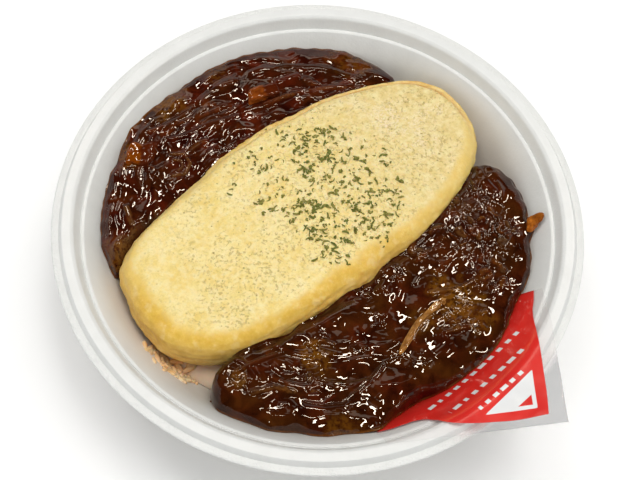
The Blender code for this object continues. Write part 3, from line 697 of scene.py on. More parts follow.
def egg_finish():
    """Pale yellow top with pores and netted patches, painted darker towards the right end as painted shade,
    golden sides, a browned lip, and a crease painted darker orange as painted shade.
    """
    egg = Finish("cooked_egg", Roughness=0.5)
    side, lip, crease = (egg.attribute(key) for key in ("side", "lip", "crease"))
    far_end, plain, pale = (egg.attribute(key) for key in ("far_end", "plain", "pale"))
    broad = egg.noise(11.0, 3.0, 0.6)
    middling = egg.noise(3.2, 3.0, 0.65)
    fine = egg.noise(0.75, 2.0, 0.7)
    top = egg.ramp(broad, [(0.30, (0.800, 0.590, 0.168)), (0.50, (0.835, 0.658, 0.248)),
                           (0.70, (0.86, 0.715, 0.335))])
    # the top is painted darker towards the right end: painted shade where the light falls off
    top = egg.mix(far_end, top, egg.mix(0.85, top, (0.725, 0.565, 0.235)))
    # whitish netted patches where the skin is thin
    net = egg.maths("ABSOLUTE", egg.maths("SUBTRACT", egg.noise(1.5, 2.0, 0.6, warp=0.8), 0.5))
    net = egg.rest_of(egg.step(0.02, 0.12, net))
    thin = egg.times(egg.times(pale, egg.step(0.35, 0.6, egg.noise(3.5, 2.0))), net)
    top = egg.mix(egg.times(thin, 0.62), top, (0.90, 0.76, 0.58))
    # pores: many small ones and a few larger
    many = egg.step(0.555, 0.625, egg.noise(1.1, 2.0, 0.6, warp=0.4))
    many = egg.times(many, egg.remap(egg.step(0.36, 0.60, egg.noise(8.0, 2.0)), 0.25, 1.0))
    more = egg.times(egg.dots(2.1, 0.16, 0.40, 0.35), egg.step(0.42, 0.60, egg.noise(6.0)))
    large = egg.dots(6.0, 0.24, 0.42, 0.45)
    pores = egg.maths("MAXIMUM", egg.times(more, 0.7), large)
    pores = egg.maths("MAXIMUM", egg.times(many, 0.62), pores)
    on_top = egg.maths("MAXIMUM", egg.step(0.15, 0.7, side), egg.times(plain, 0.65))
    on_top = egg.rest_of(on_top)
    pores = egg.times(pores, on_top)
    dusty = egg.times(egg.step(0.42, 0.64, fine), egg.remap(far_end, 0.27, 0.38))
    top = egg.mix(dusty, top, (0.60, 0.46, 0.16))
    olive = egg.times(egg.step(0.50, 0.70, egg.noise(2.6, 3.0, 0.6)), 0.34)
    top = egg.mix(olive, top, (0.68, 0.54, 0.17))
    creamy = egg.times(egg.step(0.36, 0.74, egg.noise(2.6, 3.0, 0.6)), 0.50)
    top = egg.mix(creamy, top, (0.92, 0.82, 0.50))
    top = egg.mix(egg.times(pores, 0.88), top, (0.44, 0.32, 0.095))
    wall = egg.ramp(middling, [(0.28, (0.675, 0.405, 0.050)), (0.5, (0.75, 0.485, 0.082)),
                               (0.72, (0.835, 0.595, 0.16))])
    golden = egg.times(egg.step(0.50, 0.75, egg.noise(7.0, 2.0)), 0.25)
    wall = egg.mix(golden, wall, (0.74, 0.43, 0.06))
    milky = egg.times(egg.step(0.50, 0.72, egg.noise(4.0, 3.0)), 0.35)
    wall = egg.mix(milky, wall, (0.90, 0.76, 0.42))
    wall = egg.mix(egg.times(far_end, 0.55), wall, (0.76, 0.585, 0.21))
    low = egg.step(0.93, 0.60, egg.attribute("level"))
    low = egg.times(low, egg.rest_of(far_end))
    tanned = egg.mix(egg.step(0.4, 0.6, egg.noise(5.0, 3.0)), (0.63, 0.36, 0.075), (0.76, 0.50, 0.13))
    wall = egg.mix(egg.times(low, 0.8), wall, tanned)
    edge = egg.maths("ADD", side, egg.times(egg.maths("SUBTRACT", middling, 0.5), 0.5))
    colour = egg.mix(egg.step(0.15, 0.95, edge), top, wall)
    rind = egg.mix(egg.step(0.40, 0.60, middling), (0.74, 0.43, 0.10), (0.83, 0.59, 0.20))
    colour = egg.mix(egg.times(lip, 1.0, clamp=True), colour, rind)
    # the crease is painted a darker orange: painted shade in the fold
    colour = egg.mix(egg.times(crease, 1.3, clamp=True), colour, (0.56, 0.27, 0.05))
    egg.set("Base Color", colour)
    egg.set("Roughness", egg.remap(middling, 0.40, 0.6))
    uneven = egg.bump(middling, 0.30)
    small = egg.bump(fine, 0.12, 1.0, uneven)
    egg.set("Normal", egg.bump(egg.rest_of(pores), 0.25, 1.0, small))
    egg.set("Specular IOR Level", 0.25)
    egg.soften(0.3, (1.0, 0.6, 0.25), 1.2 * MM)
    egg.varnish(0.06, 0.25)
    return egg.material


# Where the skin is pale and netted: centre, half sizes along X and Y, and how much, of 1
PALE_PATCHES = [((25, 46), (12, 9), 1.0), ((35, 37), (8, 8), 0.8), ((38, 51), (8, 5), 0.8),
                ((8, 50), (10, 5), 0.5), ((-27, 5), (4, 5), 0.5), ((-18, 1), (5, 3), 0.5),
                ((10, 36), (8, 6), 0.4), ((48, 30), (4, 9), 0.4)]


def make_omelette():
    """Rings from the middle of the top out over the edge, which is soft in part and crisp in part."""
    angles = np.arange(OMELETTE_STEPS) * 360.0 / OMELETTE_STEPS
    outline = omelette_radius(angles)
    soft_line, crisp_line = rounded_off(np.array(SOFT_SIDE), 2), rounded_off(np.array(CRISP_SIDE), 2)
    wrapped = (angles + 180.0) % 360.0 - 180.0
    crisp = np.interp(wrapped, (-180.0, -22.0, 6.0, 75.0, 110.0, 165.0, 180.0),
                      (0.0, 0.0, 1.0, 0.9, 0.6, 0.4, 0.0))
    folded = np.interp(wrapped, (-16.0, 4.0, 38.0, 80.0, 150.0, 172.0), (0.0, 1.0, 1.0, 0.30, 0.25, 0.0))
    folded = folded * np.clip(0.75 + 0.8 * lumps(angles * 0.9, 0 * angles, 4.0, 17), 0.1, 1.2)
    flat = np.linspace(0.0, 1.0, OMELETTE_TOP_RINGS + 1)[1:-1]
    rings, sides, lips, creases, levels = [], [], [], [], []

    def add(radius, level, side, lip, crease):
        along, across = radius * np.cos(np.radians(angles)), radius * np.sin(np.radians(angles))
        rise = smoothstep(10.0, OMELETTE_HALF_LENGTH, along)
        crown = OMELETTE_CROWN * level * (1 - (radius / outline) ** 2)
        height = OMELETTE_BASE + OMELETTE_LIFT * rise
        height = height + level * (OMELETTE_THICKNESS - OMELETTE_THINNING * rise) + crown
        p = OMELETTE_CENTRE + polar(angles + OMELETTE_TURN, radius)
        rough = 0.36 * lumps(along, across, 17.0, 5) + 0.17 * lumps(along, across, 5.5, 6)
        rough = rough + 0.09 * lumps(along, across, 2.2, 7)
        wrinkle = 0.34 * lumps(along + across, height * 2.5, 4.5, 8)
        wrinkle = wrinkle + 0.18 * lumps(along + across, height, 1.8, 9)
        height = height + rough * smoothstep(0.5, 1.0, level)
        p = p + (p - OMELETTE_CENTRE) / radius[:, None] * (wrinkle * smoothstep(1.0, 0.75, level))[:, None]
        rings.append(np.column_stack((p, height)))
        sides.append(side)
        lips.append(lip)
        creases.append(crease)
        levels.append(level)

    none = np.zeros(OMELETTE_STEPS)
    flat_edge = outline - soft_line[0, 1] - (crisp_line[0, 1] - soft_line[0, 1]) * crisp
    for share in flat:
        add(flat_edge * share, none + 1.0, none, none, none)
    for (soft_level, soft_inset), (crisp_level, crisp_inset) in zip(soft_line, crisp_line):
        level = soft_level + (crisp_level - soft_level) * crisp
        inset = soft_inset + (crisp_inset - soft_inset) * crisp
        waver = 0.8 * lumps(angles, none + soft_level, 9.0, 15)
        inset = inset + 0.5 * crisp * lumps(angles * 1.2, none, 6.0, 16) * smoothstep(6.0, 2.0, crisp_inset)
        under = soft_level < 0.5
        soft_side = 1.0 if under else float(smoothstep(12.5, 4.5, soft_inset))
        crisp_side = 1.0 if under else float(smoothstep(2.2, 0.4, crisp_inset))
        side = (soft_side + (crisp_side - soft_side) * crisp) * (1.0 + 0.2 * waver)
        low_lip = math.exp(-((soft_level - 0.40) / 0.08) ** 2)
        rim = 0.0 if under else float(smoothstep(3.6, 2.4, crisp_inset))
        # the fold's crease, which the egg's colour darkens as painted shade
        fold = 0.0 if under else math.exp(-((crisp_inset - 3.35) / 0.6) ** 2)
        add(outline - inset, level, side, (low_lip + (rim - low_lip) * crisp) * (0.65 + 0.35 * waver),
            fold * folded * (0.7 + 0.4 * waver))
    top = OMELETTE_BASE + OMELETTE_THICKNESS + OMELETTE_CROWN
    poles = [(*OMELETTE_CENTRE, top), (*OMELETTE_CENTRE, OMELETTE_BASE)]
    points = np.concatenate((poles[:1], *rings, poles[1:]))
    side, lip, crease, level = (np.concatenate(([first], *ring, [end]))
                                for first, ring, end in ((0.0, sides, 1.0), (0.0, lips, 0.0),
                                                         (0.0, creases, 0.0), (1.0, levels, 0.0)))
    u, v = own_place(points[:, 0], points[:, 1])
    far_end = smoothstep(-12.0, 60.0, u)
    plain = smoothstep(-44.0, -62.0, u - 0.5 * v)
    plain = plain + 0.8 * smoothstep(-23.0, -31.0, v) * smoothstep(60.0, 30.0, u)
    pale = np.zeros(len(points))
    for (cx, cy), (rx, ry), amount in PALE_PATCHES:
        away = np.hypot((points[:, 0] - cx) / rx, (points[:, 1] - cy) / ry)
        pale = np.maximum(pale, amount * smoothstep(1.3, 0.5, away))
    attributes = {"side": side, "lip": lip, "crease": crease, "level": level, "far_end": far_end,
                  "plain": plain, "pale": pale}
    faces = ring_faces(len(rings), OMELETTE_STEPS)
    return outward(mesh_object("plain_omelette", points, faces, egg_finish(), attributes))


# ---------------------------------------------------------------- sauce pools

RELIEF_BLEND = 0.16             # how softly the pieces in the sauce run together
BACK_GRID = (520, 128, 4)       # rows along the pool, columns across it, and how much coarser it is below
FRONT_GRID = (560, 156, 4)


def film_room(angle, radius):
    """Height of the film's upper side over the wall where a pool lies on it, else zero."""
    first, last = FILM_ANGLES
    wrapped = (angle + 180) % 360 - 180
    inside = smoothstep(last - 5, last - 0.5, wrapped)
    inside = inside * smoothstep(first + 5, first + 0.5, wrapped)
    return inside * (FILM_LIFT + 0.35 + film_raise(wrapped, radius)) * smoothstep(60.0, 64.0, radius)


def film_raise(angle, radius):
    """How far the sheet bridges the hollow of the wall beside the pool."""
    first, last = FILM_ANGLES
    across = smoothstep(first, first - 12, angle) * smoothstep(last, last + 12, angle)
    return FILM_RAISE * across * smoothstep(84.0, 76.0, radius)


def distance_to_path(x, y, path):
    """Distance of each place to a bent line of points."""
    best = np.full(x.shape, 1e9)
    for (ax, ay), (bx, by) in zip(path[:-1], path[1:]):
        dx, dy = bx - ax, by - ay
        t = np.clip(((x - ax) * dx + (y - ay) * dy) / (dx * dx + dy * dy + 1e-9), 0.0, 1.0)
        best = np.minimum(best, np.hypot(x - ax - t * dx, y - ay - t * dy))
    return best


def add_piece(total, tint, x, y, path, half_width, height, hue, sharp=2.6):
    """Adds one coated piece along a path to the running smooth maximum and its colour."""
    reach = half_width * 2.0
    low, high = path.min(axis=0) - reach, path.max(axis=0) + reach
    near = (x > low[0]) & (x < high[0]) & (y > low[1]) & (y < high[1])
    if not near.any():
        return
    d = distance_to_path(x[near], y[near], path)
    rise = np.exp(height * np.exp(-(d / half_width) ** sharp) / RELIEF_BLEND) - 1.0
    total[near] += rise
    tint[near] += rise * hue


def sauce_relief(x, y, angle, radius, pool):
    """Height and colour of the vegetables and meat under the sauce's skin."""
    seed = pool["seed"]
    random = np.random.default_rng(seed)
    total, tint = np.zeros(x.shape), np.zeros(x.shape)
    rows, columns = x.shape
    for _ in range(pool["strips"]):
        i, j = random.integers(rows), random.integers(int(columns * 0.95))
        centre = np.array((x[i, j], y[i, j]))
        heading = angle[i, j] + 90.0 + random.normal(0.0, 20.0)
        length = random.uniform(6.0, 18.0)
        bow = random.normal(0.0, 0.12) * length
        t = np.linspace(-0.5, 0.5, 8)
        path = centre + np.outer(t * length, polar(heading, 1.0))
        path = path + np.outer(bow * (1 - 4 * t * t), polar(heading + 90, 1.0))
        half_width, height, hue = random.uniform(0.9, 2.0), random.uniform(0.4, 1.1), random.random()
        add_piece(total, tint, x, y, path, half_width, height, hue)
    for path, width, height, hue in pool["pieces"]:
        add_piece(total, tint, x, y, np.array(path, float), width, height, hue, 3.0)
    wx = x + 2.4 * lumps(x, y, 7.0, seed + 40)
    wy = y + 2.4 * lumps(x, y, 7.0, seed + 41)
    chunky = np.clip(pool["rough"] + 1.3 * lumps(x, y, 10.0, seed + 42), 0.0, 1.0)
    for (cx, cy), size, amount in pool["chunky"]:
        chunky = np.maximum(chunky, amount * smoothstep(1.3, 0.5, np.hypot(x - cx, y - cy) / size))
    for (cx, cy), size in pool["calm"]:
        chunky = chunky * smoothstep(0.6, 1.3, np.hypot(x - cx, y - cy) / size)
    bits, bit_hue = pebbles(wx, wy, 3.6, seed + 43)
    crumbs, crumb_hue = pebbles(wx, wy, 1.9, seed + 44)
    chunky = chunky * smoothstep(-0.45, 0.15, lumps(x, y, 4.5, seed + 45))
    along = np.radians(angle) * 75.0 + 5.0 * lumps(x, y, 11.0, seed + 46)
    across = radius + 3.2 * lumps(x, y, 12.0, seed + 47)
    flowing = np.clip(pool["flow"] + 0.6 * lumps(x, y, 14.0, seed + 48), 0.0, 1.0)
    strands = 2.2 * np.abs(lumps(along / 4.5, across, 5.2, seed + 49))
    strands = strands + 0.3 * np.abs(lumps(along / 6.0, across, 2.2, seed + 50))
    slabs, slab_hue = pebbles(wx, wy, 5.6, seed + 53)
    for value, share, hue in ((1.4 * bits, chunky, bit_hue), (0.5 * crumbs, chunky, crumb_hue),
                              (2.1 * slabs, smoothstep(0.80, 1.10, chunky), slab_hue),
                              (strands, flowing, 0.3 + 0.3 * lumps(x, y, 5.0, seed + 51))):
        rise = np.exp(value * share / RELIEF_BLEND) - 1.0
        total += rise
        tint += rise * hue
    sunk = 0.40 + 0.25 * lumps(x, y, 9.0, seed + 52)
    height = RELIEF_BLEND * np.log(1.0 + total + np.exp(np.maximum(sunk, 0.05) / RELIEF_BLEND))
    shown = np.clip((height - sunk) / 0.9, 0.0, 1.0)
    micro = 0.18 * crumbs * chunky
    return height + micro, shown, np.clip(tint / (total + 0.5), 0.0, 1.0), chunky


def make_sauce(name, outline, against, levels, pool, steps, finish):
    """A pool between the omelette and its outline on the wall, with rounded edges and relief."""
    rows, columns, share = steps
    first, last = outline[0][0], outline[-1][0]
    seed = pool["seed"]
    angles = np.linspace(first, last, rows + 1)
    reach = omelette_reach(angles)
    inner = reach - SAUCE_UNDER_OMELETTE
    outer = catmull_rom(outline, angles)
    outer = outer + 0.35 * lumps(angles * 1.4, 0 * angles, 5.0, seed + 1)
    outer = np.maximum(outer, inner + SAUCE_UNDER_OMELETTE + 1.2)
    radius = inner[:, None] + (outer - inner)[:, None] * np.linspace(0.0, 1.0, columns + 1)[None, :]
    angle = np.repeat(angles[:, None], columns + 1, axis=1)
    p = polar(angle, radius)
    x, y = p[..., 0], p[..., 1]
    under = wall_height(radius) + 0.12 + film_room(angle, radius)
    edge = wall_height(outer) + SAUCE_EDGE + film_room(angles, outer)
    ends = np.minimum(angle - first, last - angle)
    shoulder = catmull_rom(pool["shoulder"], angles)[:, None]
    inward = np.minimum((outer[:, None] - radius) / shoulder, 1.0)
    inward = np.clip(np.minimum(inward, 0.02 + np.radians(ends) * radius / SAUCE_END_SHOULDER), 0.0, 1.0)
    rounded = np.sqrt(np.maximum(1 - (1 - inward) ** 2, 0.0))
    skirt = np.clip(0.5 + 1.6 * lumps(angles, 0 * angles, 4.0, seed + 4), 0.0, 1.0)[:, None]
    rounded = rounded * (1 - skirt * (1 - smoothstep(0.03, 0.20, inward)) * 0.9)
    relief, shown, hue, chunky = sauce_relief(x, y, angle, radius, pool)
    broad = 0.7 * lumps(x, y, 13.0, seed + 2) + 0.3 * lumps(x, y, 6.0, seed + 3)
    lively = smoothstep(0.12, 0.55, inward + 0.18 * lumps(x, y, 6.0, seed + 5))
    away = np.clip((radius - reach[:, None]) / 5.5, 0.0, 1.0)
    contact = catmull_rom(against, angles)[:, None]
    level = catmull_rom(levels, angles)[:, None]
    body = contact + (level - contact) * np.sin(away * np.pi / 2) + (broad - 0.5) * smoothstep(0.0, 0.5, away)
    top = edge[:, None] + (body - edge[:, None]) * rounded
    top = top + (relief - 0.5) * lively * smoothstep(-0.2, 0.08, away)
    top = np.maximum(top, under + 0.2)
    bottom = np.minimum(under, top - 0.15)
    depth = top - wall_height(radius) - film_room(angle, radius)
    amber = np.zeros(x.shape)
    for (cx, cy), size, amount in pool["amber"]:
        blob = np.hypot(x - cx, y - cy) / size + 0.5 * lumps(x, y, 4.0, seed + 7)
        amber = np.maximum(amber, amount * smoothstep(1.25, 0.4, blob))
    points, faces = grid_shell(np.dstack((x, y, top)), np.dstack((x, y, bottom)), share)
    values = {"solid": shown * lively, "hue": hue, "depth": depth, "amber": amber, "grit": chunky * lively,
              "red": np.clip(pool["red"] + 0.6 * lumps(x, y, 9.0, seed + 8), 0.0, 1.0)}
    rest = np.zeros(len(points) - x.size)
    attributes = {key: np.concatenate((value.ravel(), rest)) for key, value in values.items()}
    return outward(mesh_object(name, points, faces, finish, attributes))


def sauce_finish():
    """Glossy brown sauce, clearer where it is thin, with coloured bits that show through."""
    sauce = Finish("brown_sauce", Roughness=0.25)
    solid, hue, grit = (sauce.attribute(key) for key in ("solid", "hue", "grit"))
    depth, amber, red = (sauce.attribute(key) for key in ("depth", "amber", "red"))
    patches = sauce.noise(6.0, 3.0, 0.55, warp=0.5)
    speckle = sauce.noise(1.6, 3.0, 0.65)
    brown = sauce.ramp(patches, [(0.30, (0.018, 0.0040, 0.0009)), (0.50, (0.038, 0.0095, 0.0018)),
                                 (0.70, (0.060, 0.0170, 0.0028))])
    ruddy = sauce.ramp(patches, [(0.30, (0.017, 0.0020, 0.0009)), (0.50, (0.036, 0.0045, 0.0016)),
                                 (0.70, (0.085, 0.0100, 0.0028))])
    deep = sauce.mix(red, brown, ruddy)
    pieces = sauce.ramp(hue, [(0.05, (0.070, 0.008, 0.002)), (0.30, (0.030, 0.008, 0.0020)),
                              (0.50, (0.110, 0.022, 0.004)), (0.70, (0.150, 0.052, 0.008)),
                              (0.88, (0.115, 0.052, 0.018))])
    shown = sauce.times(sauce.step(0.25, 0.9, solid), sauce.step(0.32, 0.60, speckle))
    colour = sauce.mix(sauce.times(shown, 0.72), deep, pieces)
    clear = sauce.times(amber, sauce.step(0.34, 0.60, speckle))
    colour = sauce.mix(sauce.times(clear, 0.75), colour, (0.205, 0.076, 0.006))
    thin = sauce.rest_of(sauce.step(0.25, 2.2, depth))
    colour = sauce.mix(sauce.times(thin, 0.7), colour, (0.18, 0.062, 0.011))
    sauce.set("Base Color", colour)
    sauce.set("Roughness", sauce.remap(speckle, 0.2, 0.45))
    rough_skin = sauce.times(sauce.noise(0.9, 1.0, 0.5), sauce.remap(grit, 0.03, 1.0))
    skin = sauce.bump(rough_skin, 0.055, 1.0, sauce.bump(sauce.noise(3.2, 1.0), 0.13, 1.0))
    sauce.set("Normal", skin)
    sauce.set("Coat Normal", skin)
    sauce.set("Specular IOR Level", 0.0)
    sauce.varnish(1.0, 0.02)
    sauce.set("Coat IOR", 1.45)
    return sauce.material


# What lies in each pool: loose strips, where it is chunky or calm, clear amber patches, and single pieces
# as (path, half width, height, hue)
BACK_POOL = {
    "seed": 11, "strips": 26, "flow": 0.95, "rough": -0.6, "red": 0.75, "shoulder": [(68, 8.0), (200, 8.0)],
    "chunky": [((-37, 27), 5.0, 0.9), ((-51, 7), 5.0, 0.55), ((-36, 60), 4.0, 0.5), ((-20, 58), 5.0, 0.35),
               ((5, 58), 6.0, 0.5), ((-60, -8), 5.0, 0.4)],
    "calm": [((-48, 31), 6.0), ((-57, 21), 5.0), ((-69, 7), 6.0), ((-1, 75), 8.0), ((-62, 45), 5.0),
             ((16, 68), 8.0)],
    "amber": [((-72, 21.7), 5.5, 0.7), ((-62, 47), 8.0, 0.75), ((-71, -19), 6.0, 0.6), ((8, 76), 10.0, 0.4),
              ((-45, 62), 5.0, 0.35)],
    "pieces": [
        ([(-57, 24), (-52, 24.5), (-49.5, 21), (-51, 16.5), (-55, 15)], 0.8, 1.35, 0.8),
        ([(-55.5, 21.5), (-52.8, 21.5), (-52, 19), (-53.5, 17.5)], 0.6, 1.4, 0.9),
        ([(-66, 33), (-58, 37), (-50, 41), (-42, 46)], 1.5, 1.4, 0.5),
        ([(-60, 30), (-52, 33), (-44, 39), (-36, 43)], 1.3, 1.3, 0.2),
        ([(-73, 17), (-67, 18.5), (-62, 17)], 1.2, 1.0, 0.6),
        ([(-30, 64), (-18, 68), (-5, 69), (6, 67)], 1.6, 1.2, 0.3),
        ([(-25, 50), (-14, 56), (-2, 60), (12, 62)], 1.4, 1.2, 0.6),
        ([(-70, 21), (-68, 25)], 6.0, 0.9, 0.6),
        ([(-28, 54), (-22, 59)], 4.5, 0.7, 0.1),
        ([(-20, 60), (-14, 63.5)], 2.6, 2.0, 0.05),
        ([(-72, -21), (-69, -14)], 3.2, 1.5, 0.95),
        ([(-70, 0), (-66, -8), (-68, -15)], 1.5, 1.1, 0.8)],
}
FRONT_POOL = {
    "seed": 23, "strips": 26, "flow": 0.45, "rough": -0.35, "red": 0.35,
    "shoulder": [(-119, 8.0), (-8, 8.0), (6, 10.5), (33.5, 12.0)],
    "chunky": [((60, 4), 13.0, 1.25), ((63, -12), 9.0, 1.15), ((46, -2), 8.0, 0.9), ((52, -28), 8.0, 0.7),
               ((-22, -63), 4.5, 0.8), ((2.6, -61), 4.5, 0.9), ((3, -50), 4.0, 0.6), ((24, -34), 3.5, 0.8),
               ((32, -46), 3.5, 0.7), ((40, -48), 4.0, 0.7), ((-6, -72), 5.0, 0.6), ((18, -44), 4.0, 0.6),
               ((29, -15), 4.0, 0.8), ((-10, -45), 4.0, 0.5), ((20, -22), 3.5, 0.7), ((36, -8), 4.5, 0.9),
               ((43, 4), 5.0, 1.1), ((50, 14), 5.0, 1.1), ((56, 21), 4.5, 0.9), ((3, -39), 3.0, 0.6)],
    "calm": [((9, -36), 6.0), ((31, -28), 5.0), ((20, -60), 6.0), ((-4, -77), 5.0), ((-27.5, -70), 4.0),
             ((50, -44), 6.0), ((64, 28), 5.0)],
    "amber": [((52, -25), 9.0, 0.85), ((45, -18), 5.0, 0.7), ((60, -30), 6.0, 0.5), ((2.8, -50.5), 6.0, 0.75),
              ((-22, -62), 4.0, 0.45), ((40, -33), 5.0, 0.5), ((15, -76), 7.0, 0.5)],
    "pieces": [
        ([(-24, -60), (-19, -56), (-14, -53), (-9, -50.5)], 0.9, 1.2, 0.4),
        ([(1, -67.5), (8, -68), (14, -66.5), (19, -61), (24, -55), (27, -50)], 0.8, 1.2, 0.3),
        ([(-17, -66), (-10, -63), (-3, -64)], 1.3, 1.1, 0.8),
        ([(36, -10), (40, -6), (45, -4)], 1.1, 1.1, 0.4),
        ([(42, -22), (50, -20), (57, -16)], 1.2, 1.0, 0.7),
        ([(0, -46), (5, -44), (9, -45)], 1.0, 0.9, 0.8),
        ([(48, -36), (56, -33), (62, -27)], 1.3, 0.9, 0.6),
        ([(53, 14), (60, 17), (66, 15)], 1.2, 0.9, 0.3)],
}


# ---------------------------------------------------------------- pieces on the sauce

ABOVE_ALL = 80.0
USUAL_LEVEL = 40.0              # taken where no surface is met
ONION_ROUTE = ((32.0, -46.5), (35.0, -40.0), (39.0, -30.0), (48.0, -22.0))
DROP_PLACE = (-30.5, -66.5)


def top_height(obj, x, y):
    """Height of an object's surface under a place, in millimetres."""
    hit, place, _, _ = obj.ray_cast(Vector((x, y, ABOVE_ALL)) * MM, Vector((0, 0, -1)))
    return place.z / MM if hit else USUAL_LEVEL


def carrot_finish(name, dark, light, coat=0.92):
    """Cooked vegetable under a gloss of sauce, stained dark by it at one end."""
    carrot = Finish(name, Roughness=0.25)
    grain = carrot.noise(2.2, 3.0, 0.6)
    colour = carrot.ramp(grain, [(0.3, dark), (0.7, light)])
    stained = carrot.maths("ADD", carrot.attribute("coated"), carrot.noise(4.0, 3.0, 0.6, warp=0.4))
    coated = carrot.times(carrot.step(0.75, 1.15, stained), coat)
    colour = carrot.mix(coated, colour, (0.060, 0.008, 0.002))
    carrot.set("Base Color", colour)
    carrot.set("Roughness", carrot.remap(grain, 0.18, 0.35))
    skin = carrot.bump(carrot.noise(2.2, 1.0), 0.16)
    carrot.set("Normal", skin)
    carrot.set("Coat Normal", skin)
    carrot.soften(0.1, (1.0, 0.35, 0.1), 1.5 * MM)
    carrot.set("Specular IOR Level", 0.0)
    carrot.varnish(0.7, 0.02)
    return carrot.material


def rounded_chunk(name, size, seed, material, taper=0.85, cuts=14, power=5.0, pinch=0.0, ragged=0.17):
    """Cut vegetable: a softened, slightly uneven block, centred."""
    bm = bmesh.new()
    bmesh.ops.create_cube(bm, size=2.0)
    bmesh.ops.subdivide_edges(bm, edges=list(bm.edges), cuts=cuts, use_grid_fill=True)
    points = np.array([v.co for v in bm.verts], float)
    points /= (np.abs(points) ** power).sum(axis=1)[:, None] ** (1.0 / power)
    points[:, :2] *= (1 - (1 - taper) * (points[:, 2:] + 1) / 2)
    points[:, 1:] *= 1 - pinch * smoothstep(-0.6, 1.0, points[:, :1])
    points *= np.array(size) / 2
    uneven = lumps(points[:, 0] + points[:, 2], points[:, 1] - points[:, 2], 3.0, seed)
    points *= 1.0 + ragged * uneven[:, None]
    points[:, 0] += 0.22 * points[:, 1]
    for v, p in zip(bm.verts, points):
        v.co = p * MM
    mesh = bpy.data.meshes.new(name)
    bm.to_mesh(mesh)
    bm.free()
    coated = mesh.attributes.new("coated", "FLOAT", "POINT")
    coated.data.foreach_set("value", smoothstep(-0.25, 0.30, points[:, 0] / size[0]).astype(np.float32))
    mesh.materials.append(material)
    mesh.shade_smooth()
    obj = bpy.data.objects.new(name, mesh)
    bpy.context.scene.collection.objects.link(obj)
    return obj


def place_piece(obj, centre, turn, tilt=0.0, facing=0.0):
    """Turns a piece about Z, tilts it down towards the facing direction and moves it, in its mesh."""
    matrix = Matrix.Translation(Vector(centre) * MM) @ Matrix.Rotation(math.radians(facing), 4, "Z")
    matrix = matrix @ Matrix.Rotation(math.radians(tilt), 4, "Y")
    matrix = matrix @ Matrix.Rotation(math.radians(turn - facing), 4, "Z")
    obj.data.transform(matrix)
    return obj


def strip_along(name, points, half_width, half_thickness, material, sides=24):
    """Long ribbed piece of flat oval section that starts narrow and widens."""
    points = np.array(points, float)
    along = np.gradient(points, axis=0)
    along /= np.linalg.norm(along, axis=1)[:, None]
    across = np.cross(along, (0.0, 0.0, 1.0))
    across /= np.linalg.norm(across, axis=1)[:, None]
    up = np.cross(across, along)
    share = (np.arange(len(points)) + 0.5) / len(points)
    wide = (0.55 + 0.75 * share) * np.clip(np.sin(np.pi * share) * 3.0, 0.0, 1.0) ** 0.6
    turn = np.arange(sides) * 2 * np.pi / sides
    ribs = 1.0 + 0.13 * np.cos(6 * turn)
    sideways = (np.cos(turn) * ribs * half_width)[None, :] * wide[:, None]
    upwards = (np.sin(turn) * ribs * half_thickness)[None, :] * np.minimum(wide, 1.0)[:, None]
    rings = points[:, None] + across[:, None] * sideways[..., None] + up[:, None] * upwards[..., None]
    all_points = np.concatenate((points[:1], rings.reshape(-1, 3), points[-1:]))
    return outward(mesh_object(name, all_points, ring_faces(len(points), sides), material))


# ---------------------------------------------------------------- film sheet

def margin_curve(finish, value, knots):
    """Width of the sheet's clear margin at this distance from the corner."""
    return finish.curve(value, knots, FILM_MARGIN_REACH, FILM_MARGIN_WIDEST)


def film_profile():
    """The sheet's (radius, height) from its tuck up the wall, over the rim and out to its corner."""
    slope, rise = math.radians(LEDGE_SLOPE), math.radians(FILM_RISE)
    up_wall = np.array((math.cos(slope), math.sin(slope)))
    outwards = np.array((math.cos(rise), math.sin(rise)))
    start = np.array((FILM_LEAVES_WALL, wall_height(FILM_LEAVES_WALL) + FILM_LIFT))
    bend = bezier(start, start + FILM_BEND[0] * up_wall, FILM_CREST - FILM_BEND[1] * outwards, FILM_CREST, 24)
    on_wall = np.linspace(60.0, FILM_LEAVES_WALL, 21)[:-1]
    wall = np.column_stack((on_wall, wall_height(on_wall) + FILM_LIFT))
    far = FILM_CREST + FILM_CORNER_RUN * outwards
    return np.concatenate((wall, bend, [far]))


def edge_line(end):
    """Unit normal of one straight edge of the sheet, towards the sheet, and its offset."""
    along = (end - FILM_CORNER) / np.linalg.norm(end - FILM_CORNER)
    normal = np.array((-along[1], along[0]))
    if normal @ (np.zeros(2) - FILM_CORNER) < 0:
        normal = -normal
    return normal, normal @ FILM_CORNER


def film_reach(angles):
    """Distance from the bowl's centre to the sheet's nearer straight edge, in each direction."""
    direction = polar(angles, 1.0)
    edges = (edge_line(FILM_RIGHT_END), edge_line(FILM_LEFT_END))
    reach = [offset / (direction @ normal) for normal, offset in edges]
    return np.minimum(*reach)


PRINT_BLUR = 0.12               # half the width of the print's soft edge
DASH_ROWS = ((23.6, -17.0, 4.5, 3.7), (30.0, -23.5, 10.5, 4.1), (37.0, -26.5, 15.5, 3.9))


